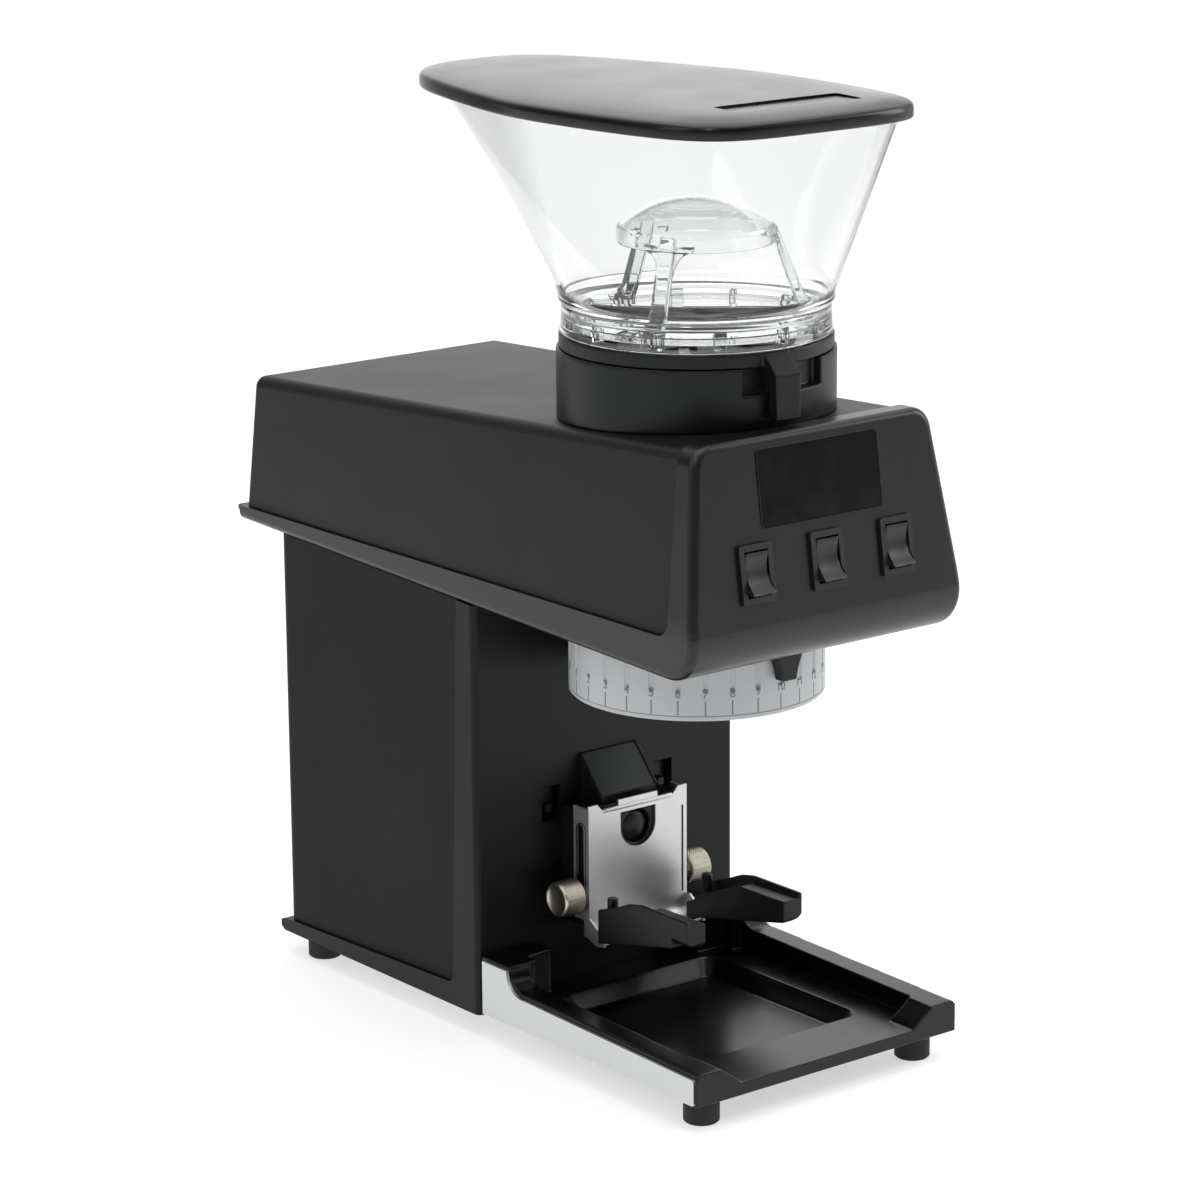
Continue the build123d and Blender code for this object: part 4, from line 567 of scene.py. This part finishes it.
section += [level(neck(r), z) for z, r in (
    (452.2, 75.8), (449.0, 75.2), (447.4, 74.2), (446.7, 72.4), (446.5, 67.0), (446.0, 66.2), (444.2, 66.2), (443.7, 67.0),
    (443.5, 72.6), (442.6, 73.6), (433.4, 73.6), (431.2, 74.6))]
bm = bmesh.new()
rings_to_bm(bm, section, cyclic=True)
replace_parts(finish_piece("hopper_skin", bm, "clear_plastic", "hopper_unit", 50.0), "hopper")

# ribs and pins under the ledge of the neck
bm = bmesh.new()
rng = random.Random(11)
for k in range(12):
    a = math.radians(30.0 * k + rng.uniform(-3.0, 3.0))
    wide = rng.choice((2.4, 3.0, 7.0))
    r = 69.6
    block(bm, (r * math.cos(a), AX + r * math.sin(a), 437.6), (7.0, wide, 11.4), a, 0.5)
finish_piece("hopper_ribs", bm, "clear_plastic", "hopper_unit", 40.0)
bm = bmesh.new()
for k in range(3):
    for side in (-1, 1):
        a = math.radians(90.0 + 120.0 * k) + side * 0.066
        cx, cy = 70.6 * math.cos(a), AX + 70.6 * math.sin(a)
        prof = [(431.6, 1.8), (432.2, 2.4), (441.0, 2.4), (441.4, 3.2), (443.0, 3.2), (443.4, 2.8)]
        rings_to_bm(bm, [circle(r, z, 20, cx, cy) for z, r in prof], ends=True)
finish_piece("hopper_pins", bm, "clear_plastic", "hopper_unit", 40.0)

# ---------------------------------------------------------------------------
# Lid: crowned cap with a shallow finger recess
# ---------------------------------------------------------------------------
tangent = np.roll(OVAL, -1, 0) - np.roll(OVAL, 1, 0)
INWARD = np.c_[-tangent[:, 1], tangent[:, 0]] / np.linalg.norm(tangent, axis=1)[:, None]


def inset(d):
    return OVAL + INWARD * d


rows = [level(inset(d), z) for d, z in (
    (5.0, 565.0), (5.0, 560.0), (5.0, 557.0), (4.7, 556.5), (4.1, 556.3), (1.2, 556.3), (0.45, 556.6), (0.0, 557.4), (0.0, 559.4),
    (0.0, 561.4), (0.2, 562.7), (0.7, 563.8), (1.5, 564.6), (2.5, 565.15), (3.8, 565.6), (6.0, 566.15), (9.0, 566.8), (13.0, 567.5),
    (18.0, 568.1))]
for f, z in ((0.94, 568.6), (0.86, 569.05), (0.76, 569.4), (0.62, 569.7), (0.46, 569.88), (0.3, 569.96), (0.15, 570.0), (0.04, 570.0)):
    rows.append(level(inset(18.0) * f + np.array((0.0, 51.3)) * (1.0 - f), z))
bm = bmesh.new()
rings_to_bm(bm, rows, ends=True)
lid = finish_piece("lid_skin", bm, "lid_plastic", "lid", 40.0)
corner = [(sx * 43.0 + 2.0 * math.cos(q), -79.0 + sy * 9.0 + 2.0 * math.sin(q))
          for sx, sy, q0 in ((1, -1, -90), (1, 1, 0), (-1, 1, 90), (-1, -1, 180)) for q in [math.radians(q0 + 15 * j) for j in range(7)]]
bm = bmesh.new()
rings_to_bm(bm, [[(x, AX + y, 567.85 + (y + 90.0) / 22.0 * 0.12) for x, y in corner], [(x, AX + y, 576.0) for x, y in corner]], ends=True)
bmesh.ops.recalc_face_normals(bm, faces=bm.faces)
bmesh.ops.scale(bm, vec=(MM, MM, MM), verts=bm.verts)
me = bpy.data.meshes.new("recess_cutter")
bm.to_mesh(me)
bm.free()
cutter = bpy.data.objects.new("recess_cutter", me)
scene.collection.objects.link(cutter)
cut = lid.modifiers.new("recess", "BOOLEAN")
cut.operation = "DIFFERENCE"
cut.solver = "EXACT"
cut.object = cutter
bpy.context.view_layer.update()
done = bpy.data.meshes.new_from_object(lid.evaluated_get(bpy.context.evaluated_depsgraph_get()))
lid.modifiers.clear()
old = lid.data
lid.data = done
bpy.data.meshes.remove(old)
bpy.data.objects.remove(cutter)
bpy.data.meshes.remove(me)
done.set_sharp_from_angle(angle=math.radians(40.0))
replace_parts(lid, "hopper_lid")

# ---------------------------------------------------------------------------
# Switches: hollowed paddles whose lower end stands out
# ---------------------------------------------------------------------------
TILT = math.atan(0.1456)
P_UP, P_OUT = Vector((0, math.sin(TILT), math.cos(TILT))), Vector((0, -math.cos(TILT), math.sin(TILT)))
PADDLE = [(-11.1, -9.0), (0.0, -9.6), (11.1, -9.0), (11.9, -3.0), (12.0, 1.6), (11.8, 2.4), (11.0, 2.7), (9.4, 2.3), (7.2, 1.75), (5.0, 1.3),
          (2.6, 1.05), (0.2, 1.15), (-2.2, 1.6), (-4.4, 2.4), (-6.4, 3.5), (-8.2, 4.8), (-9.6, 6.0), (-10.6, 6.9), (-11.2, 7.1), (-11.6, 6.8),
          (-11.6, 6.0), (-11.3, 4.0), (-11.2, 1.0)]
for x0, which in ((-52.0, "left"), (0.0, "middle"), (52.0, "right")):
    origin = Vector((x0, AX - 117.5, 288.0)) + P_UP * 29.6
    rows = []
    for dx, shrink in ((-8.1, 0.55), (-7.95, 0.22), (-7.6, 0.04), (-7.2, 0.0), (-3.6, 0.0), (0.0, 0.0), (3.6, 0.0), (7.2, 0.0), (7.6, 0.04),
                       (7.95, 0.22), (8.1, 0.55)):
        # faintly hollowed across as well
        dish = 0.25 * math.cos(math.pi * dx / 16.2)
        row = []
        for u, w in PADDLE:
            k = shrink / 11.0
            if w > 0.5:
                w = w - dish - shrink * 0.8
            row.append(origin + Vector((dx, 0, 0)) + P_UP * (u * (1 - k)) + P_OUT * w)
        rows.append(row)
    bm = bmesh.new()
    rings_to_bm(bm, rows, ends=True)
    o = finish_piece("rocker_paddle_" + which, bm, "switch_plastic", NODES["rocker_" + which]["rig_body"], 38.0)
    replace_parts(o, "rocker_" + which)

# thin black ring round the display: painted shade, a dark stand-in for the shadow gap at its edge


def rounded(w, h, r, n=6):
    out = []
    for sx, sy, q0 in ((1, 1, 0), (-1, 1, 90), (-1, -1, 180), (1, -1, 270)):
        for j in range(n + 1):
            q = math.radians(q0 + 90.0 * j / n)
            out.append((sx * (w / 2 - r) + r * math.cos(q), sy * (h / 2 - r) + r * math.sin(q)))
    return out


# black ring round the display window, painted shade for the shadow gap round it
panel_origin = Vector((0, AX - 117.5, 288.0)) + P_UP * 75.3
bm = bmesh.new()
rows = [[panel_origin + Vector((u, 0, 0)) + P_UP * w + P_OUT * d for u, w in rounded(87.7 + 2 * g, 42.7 + 2 * g, 1.9 + g)]
        for g, d in ((0.05, -0.6), (0.05, 0.5), (0.15, 0.66), (0.6, 0.7), (0.85, 0.5), (0.95, 0.1), (0.95, -0.6))]
rings_to_bm(bm, rows, cyclic=True)
finish_piece("display_shadow_gap_ring", bm, "tray_plastic", "body", 40.0)

# ---------------------------------------------------------------------------
# Grind ring: printed scale
# ---------------------------------------------------------------------------
RING_R = 74.9


def on_ring(x, z, r, angle):
    a = angle + x / RING_R
    return (r * math.cos(a), AX + r * math.sin(a), z)


bm = bmesh.new()
for n in range(30):
    a = math.radians(-90.0 + 12.0 * n)
    lo, hi, half = RING_R - 0.25, RING_R + 0.06, 0.42
    c = [bm.verts.new(on_ring(x, z, r, a)) for z in (222.6, 231.2) for x, r in ((-half, lo), (half, lo), (half, hi), (-half, hi))]
    for f in ((0, 1, 2, 3), (4, 5, 6, 7), (0, 1, 5, 4), (1, 2, 6, 5), (2, 3, 7, 6), (3, 0, 4, 7)):
        bm.faces.new([c[i] for i in f])
rings_to_bm(bm, [circle(r, z, 240) for z, r in ((221.9, RING_R - 0.2), (221.9, RING_R + 0.05), (222.4, RING_R + 0.05), (222.4, RING_R - 0.2))],
            cyclic=True)
finish_piece("ring_ticks", bm, "ring_ink", "setting_ring", 30.0)


def glyphs(text):
    c = bpy.data.curves.new("glyph", "FONT")
    c.body = text
    c.size = 1.0
    c.extrude = 0.02
    c.offset = 0.012
    c.align_x = "CENTER"
    c.resolution_u = 3
    o = bpy.data.objects.new("glyph", c)
    scene.collection.objects.link(o)
    bpy.context.view_layer.update()
    me = bpy.data.meshes.new_from_object(o.evaluated_get(bpy.context.evaluated_depsgraph_get()))
    data = ([v.co.copy() for v in me.vertices], [list(p.vertices) for p in me.polygons])
    bpy.data.objects.remove(o)
    bpy.data.curves.remove(c)
    bpy.data.meshes.remove(me)
    return data


verts8, _ = glyphs("8")
CAP = max(v.y for v in verts8) - min(v.y for v in verts8)
bm = bmesh.new()
for n in range(1, 31):
    a = math.radians(-90.0 + (n - 10) * 12.0)
    vs, fs = glyphs(str(n))
    k = 5.0 / CAP
    new = [bm.verts.new(on_ring(v.x * k, 233.0 + v.y * k, RING_R - 0.2 + 0.26 * (v.z > 0), a)) for v in vs]
    for f in fs:
        try:
            bm.faces.new([new[i] for i in f])
        except ValueError:
            pass
bmesh.ops.remove_doubles(bm, verts=bm.verts, dist=0.001)
finish_piece("ring_numbers", bm, "ring_ink", "setting_ring", 30.0)

# ---------------------------------------------------------------------------
# Thumbscrews: diamond knurl and a dished, turned face
# ---------------------------------------------------------------------------
for side, name in ((-1, "left"), (1, "right")):
    bm = bmesh.new()
    n = 288

    def ring(x, r, knurl=0.0):
        out = []
        for k in range(n):
            a = 2 * math.pi * k / n
            q = r
            if knurl:
                u, w = math.sin(18 * a + x * 1.9), math.sin(18 * a - x * 1.9)
                q = r - knurl * (0.5 * abs(u) + 0.5 * abs(w))
            out.append((side * x, AX + 64.0 + q * math.cos(a), 83.0 + q * math.sin(a)))
        return out

    rows = [ring(27.2, 1.5), ring(27.2, 2.9), ring(38.3, 2.9), ring(38.3, 5.9), ring(41.0, 5.9), ring(41.0, 9.8), ring(41.6, 10.5)]
    x = 41.7
    while x < 55.15:
        rows.append(ring(x, 11.0, 0.42))
        x += 0.2
    rows += [ring(55.3, 10.6), ring(55.9, 10.2), ring(56.3, 9.5), ring(56.3, 8.8)]
    rows += [ring(56.0, 8.4), ring(55.4, 6.2), ring(55.0, 3.6), ring(54.9, 1.2)]
    rings_to_bm(bm, rows, ends=True)
    bm.faces.ensure_lookup_table()
    for f in bm.faces:
        c = f.calc_center_median()
        if abs(c.x) > 54.7 and math.hypot(c.y - AX - 64.0, c.z - 83.0) < 9.6:
            f.material_index = 1
    o = finish_piece("thumbscrew_knurled_" + name, bm, ["nickel", "nickel_face"], "thumb_" + name, 38.0)
    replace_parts(o, "thumbscrew_" + name)

# ---------------------------------------------------------------------------
# Holder: rolled lip over the notch, ridges on the housing, catches in the windows
# ---------------------------------------------------------------------------
bm = bmesh.new()
tube(bm, [(-25.4 + 50.8 * k / 24, AX + 55.7, 134.8) for k in range(25)], 1.4, 20)
finish_piece("plate_lip", bm, "stainless", "fork", 40.0)


def stadium(half_w, z0, z1, n=14):
    """Outline of a slot, across and up."""
    low = [(half_w * math.cos(math.pi + math.pi * k / n), z0 + half_w + half_w * math.sin(math.pi + math.pi * k / n)) for k in range(n + 1)]
    high = [(half_w * math.cos(math.pi * k / n), z1 - half_w + half_w * math.sin(math.pi * k / n)) for k in range(n + 1)]
    return low + high


# black pieces filling the slots of the plate: painted shade, dark stand-ins for the shade inside the slots
bm = bmesh.new()
for side in (-1, 1):
    rows = []
    for half, depth in ((3.1, 36.35), (4.3, 36.35), (4.6, 37.3), (4.6, 37.85), (4.3, 38.0), (3.9, 38.0), (3.6, 37.7), (3.1, 37.4)):
        rows.append([(side * depth, AX + 62.6 + u, z) for u, z in stadium(half, 76.4 - half + 3.1, 126.6 + half - 3.1)])
    rings_to_bm(bm, rows, cyclic=True)
finish_piece("slot_shade_fillers", bm, "black_plastic", "fork", 40.0)
bm = bmesh.new()
rows = [[(34.4 + u, AX + y, z) for u, z in stadium(half, 72.0, 127.0, 8)] for half, y in ((0.35, 55.6), (0.7, 55.6), (0.75, 55.3), (0.6, 55.22), (0.35, 55.3))]
rings_to_bm(bm, rows, ends=True)
finish_piece("plate_groove", bm, "black_plastic", "fork", 40.0)
# domed button
bm = bmesh.new()
rows = [[(r * math.cos(2 * math.pi * k / 72), AX + y, 120.0 + r * math.sin(2 * math.pi * k / 72)) for k in range(72)]
        for r, y in ((6.0, 70.9), (9.6, 70.9), (9.9, 70.5), (9.9, 62.6), (10.15, 61.5))]
for k in range(1, 15):
    q = math.pi / 2 * k / 15
    rows.append([(10.15 * math.cos(q) * math.cos(2 * math.pi * j / 72), AX + 61.3 - 4.0 * math.sin(q),
                  120.0 + 10.15 * math.cos(q) * math.sin(2 * math.pi * j / 72)) for j in range(72)])
rings_to_bm(bm, rows, ends=True)
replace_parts(finish_piece("button_dome", bm, "black_plastic", NODES["filter_button"]["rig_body"], 40.0), "filter_button")
bm = bmesh.new()
for side in (-1, 1):
    tube(bm, [(side * 20.7, AX + 83.0 - 19.0 * k / 16, 162.8 - 21.2 * k / 16) for k in range(17)], 0.9, 14)
finish_piece("housing_ridges", bm, "black_plastic", "body", 40.0)
bm = bmesh.new()
for side in (-1, 1):
    block(bm, (side * 43.0, AX + 91.0, 139.5), (9.5, 3.0, 11.0), 0.0, 0.5)
    block(bm, (side * 43.0, AX + 88.6, 132.6), (5.0, 4.5, 5.0), 0.0, 0.6)
finish_piece("window_catches", bm, "black_plastic", "body", 40.0)

# ---------------------------------------------------------------------------
# Camera, floor and light
# ---------------------------------------------------------------------------
cam_data = bpy.data.cameras.new("camera")
cam = bpy.data.objects.new("camera", cam_data)
scene.collection.objects.link(cam)
cam_data.lens = 123.84
cam_data.sensor_width = 36.0
cam_data.clip_end = 100.0
yaw, pitch, roll = math.radians(38.345), math.radians(14.462), math.radians(-0.423)
look = Vector((math.sin(yaw) * math.cos(pitch), math.cos(yaw) * math.cos(pitch), -math.sin(pitch)))
right = look.cross(Vector((0, 0, 1))).normalized()
up = right.cross(look)
r2 = right * math.cos(roll) + up * math.sin(roll)
u2 = -right * math.sin(roll) + up * math.cos(roll)
rot = Matrix((r2, u2, -look)).transposed().to_4x4()
cam.matrix_world = Matrix.Translation(Vector((-1485.4, -1893.9, 870.9)) * MM) @ rot
scene.camera = cam

world = bpy.data.worlds.new("studio")
scene.world = world
world.use_nodes = True
wt = world.node_tree
wt.nodes.clear()
wo = wt.nodes.new("ShaderNodeOutputWorld")
bg = wt.nodes.new("ShaderNodeBackground")
wc = wt.nodes.new("ShaderNodeTexCoord")


def w_math(op, a, b):
    n = wt.nodes.new("ShaderNodeMath")
    n.operation = op
    for i, v in enumerate((a, b)):
        if isinstance(v, (int, float)):
            n.inputs[i].default_value = v
        else:
            wt.links.new(v, n.inputs[i])
    return n.outputs[0]


def lobe(direction, start, end, amount):
    """A soft brighter or darker region of the room, round a direction."""
    d = wt.nodes.new("ShaderNodeVectorMath")
    d.operation = "DOT_PRODUCT"
    wt.links.new(wc.outputs["Generated"], d.inputs[0])
    d.inputs[1].default_value = Vector(direction).normalized()
    r = wt.nodes.new("ShaderNodeMapRange")
    r.interpolation_type = "SMOOTHSTEP"
    r.inputs["From Min"].default_value = start
    r.inputs["From Max"].default_value = end
    r.inputs["To Min"].default_value = 0.0
    r.inputs["To Max"].default_value = amount
    wt.links.new(d.outputs["Value"], r.inputs["Value"])
    return r.outputs["Result"]


total = w_math("ADD", lobe((0, 0, 1), -1.2, -1.1, 0.56), lobe((0.62, 0.78, 0.16), 0.35, 0.92, 0.84))
total = w_math("ADD", total, lobe((0, 0, 1), 0.35, 0.95, 0.40))
total = w_math("ADD", total, lobe((0.62, -0.78, 0.05), 0.55, 0.95, -0.26))
total = w_math("ADD", total, lobe((-0.6, -0.79, -0.05), 0.3, 0.92, -0.44))
total = w_math("ADD", total, lobe((-0.72, 0.69, 0.0), 0.45, 0.92, -0.4))
total = w_math("MAXIMUM", total, 0.02)
gray = wt.nodes.new("ShaderNodeCombineColor")
for i in range(3):
    wt.links.new(total, gray.inputs[i])
wt.links.new(gray.outputs["Color"], bg.inputs["Color"])
bg.inputs["Strength"].default_value = 1.0
# the backdrop itself is plain white; the room's lobes only light the object
plain = wt.nodes.new("ShaderNodeBackground")
plain.inputs["Color"].default_value = (1, 1, 1, 1)
path = wt.nodes.new("ShaderNodeLightPath")
pick_bg = wt.nodes.new("ShaderNodeMixShader")
wt.links.new(path.outputs["Is Camera Ray"], pick_bg.inputs[0])
wt.links.new(bg.outputs[0], pick_bg.inputs[1])
wt.links.new(plain.outputs[0], pick_bg.inputs[2])
wt.links.new(pick_bg.outputs[0], wo.inputs["Surface"])


def area(name, loc, target, size, power, color=(1, 1, 1)):
    d = bpy.data.lights.new(name, "AREA")
    d.shape = "RECTANGLE"
    d.size, d.size_y = size
    d.energy = power
    d.color = color
    o = bpy.data.objects.new(name, d)
    scene.collection.objects.link(o)
    o.location = loc
    o.rotation_mode = "QUATERNION"
    o.rotation_quaternion = (Vector(target) - Vector(loc)).to_track_quat("-Z", "Y")
    return o


area("softbox_top", (0.1, -0.1, 2.4), (0, 0, 0.2), (2.2, 2.2), 26.0)
area("softbox_left", (-2.6, 0.2, 1.6), (0, 0, 0.3), (1.4, 1.6), 8.0)
area("softbox_front", (-1.7, -1.5, 2.1), (0, -0.1, 0.3), (0.4, 1.2), 7.0)
area("softbox_right", (2.2, -1.2, 1.3), (0, -0.1, 0.25), (1.0, 1.6), 22.0)

floor_me = bpy.data.meshes.new("floor")
fb = bmesh.new()
prev = None
centre = fb.verts.new((0, 0, 0))
for rr in (0.4, 0.9, 1.8, 3.5, 6.0, 10.0, 16.0):
    ring = [fb.verts.new((rr * math.cos(2 * math.pi * k / 64), rr * math.sin(2 * math.pi * k / 64), 0)) for k in range(64)]
    for k in range(64):
        if prev is None:
            fb.faces.new((centre, ring[k], ring[(k + 1) % 64]))
        else:
            fb.faces.new((prev[k], ring[k], ring[(k + 1) % 64], prev[(k + 1) % 64]))
    prev = ring
fb.to_mesh(floor_me)
fb.free()
floor = bpy.data.objects.new("floor", floor_me)
scene.collection.objects.link(floor)
fm = Mat("floor_paper", spec=0.0, color=(0.52, 0.52, 0.52))
fm.rough(fm.span(fm.noise(60.0, 3.0, 0.5), 0.8, 0.95))
fm.b.inputs["Emission Color"].default_value = (1, 1, 1, 1)
fm.b.inputs["Emission Strength"].default_value = 0.58
floor_me.materials.append(fm.m)

# grey cards beside the set: they only darken the edges of the clear hopper
def card_paint(name, across, near, far, edge, strength):
    m = Mat(name, spec=0.0, color=(0.02, 0.02, 0.02))
    d = m.node("ShaderNodeVectorMath", operation="DOT_PRODUCT")
    m.link(m.coords(), d.inputs[0])
    d.inputs[1].default_value = across
    h = m.node("ShaderNodeSeparateXYZ")
    m.link(m.coords(), h.inputs[0])
    # the grey fades out towards every edge of the card
    shade = m.math("MULTIPLY", m.span(d.outputs["Value"], 0.0, 1.0, near, far), m.span(d.outputs["Value"], 1.0, 0.0, edge - 0.24, edge))
    shade = m.math("MULTIPLY", shade, m.span(h.outputs["Z"], 0.0, 1.0, 0.22, 0.36))
    m.link(m.span(shade, 0.95, strength), m.b.inputs["Emission Strength"])
    m.b.inputs["Emission Color"].default_value = (1, 1, 1, 1)
    m.rough(m.span(m.noise(300.0, 2.0, 0.5), 0.8, 0.95))
    return m.m


flat_look = Vector((look.x, look.y, 0)).normalized()
for name, near, far, ahead, strength in (("card_left", -0.22, -1.1, 0.42, 0.2), ("card_right", 0.24, 0.8, 0.42, 0.42)):
    cm = bpy.data.meshes.new(name)
    cb = bmesh.new()
    grid = [[cb.verts.new(flat_look * ahead + right * (near + (far - near) * i / 4) + Vector((0, 0, 0.22 + 0.16 * j))) for i in range(5)]
            for j in range(5)]
    for j in range(4):
        for i in range(4):
            cb.faces.new((grid[j][i], grid[j][i + 1], grid[j + 1][i + 1], grid[j + 1][i]))
    cb.to_mesh(cm)
    cb.free()
    out_way = right if far > near else -right
    cm.materials.append(card_paint(name + "_paint", out_way, abs(near), abs(near) + 0.3, abs(far), strength))
    card = bpy.data.objects.new(name, cm)
    scene.collection.objects.link(card)
    card.visible_camera = False
    card.visible_diffuse = False
    card.visible_shadow = False

scene.view_settings.view_transform = "Standard"
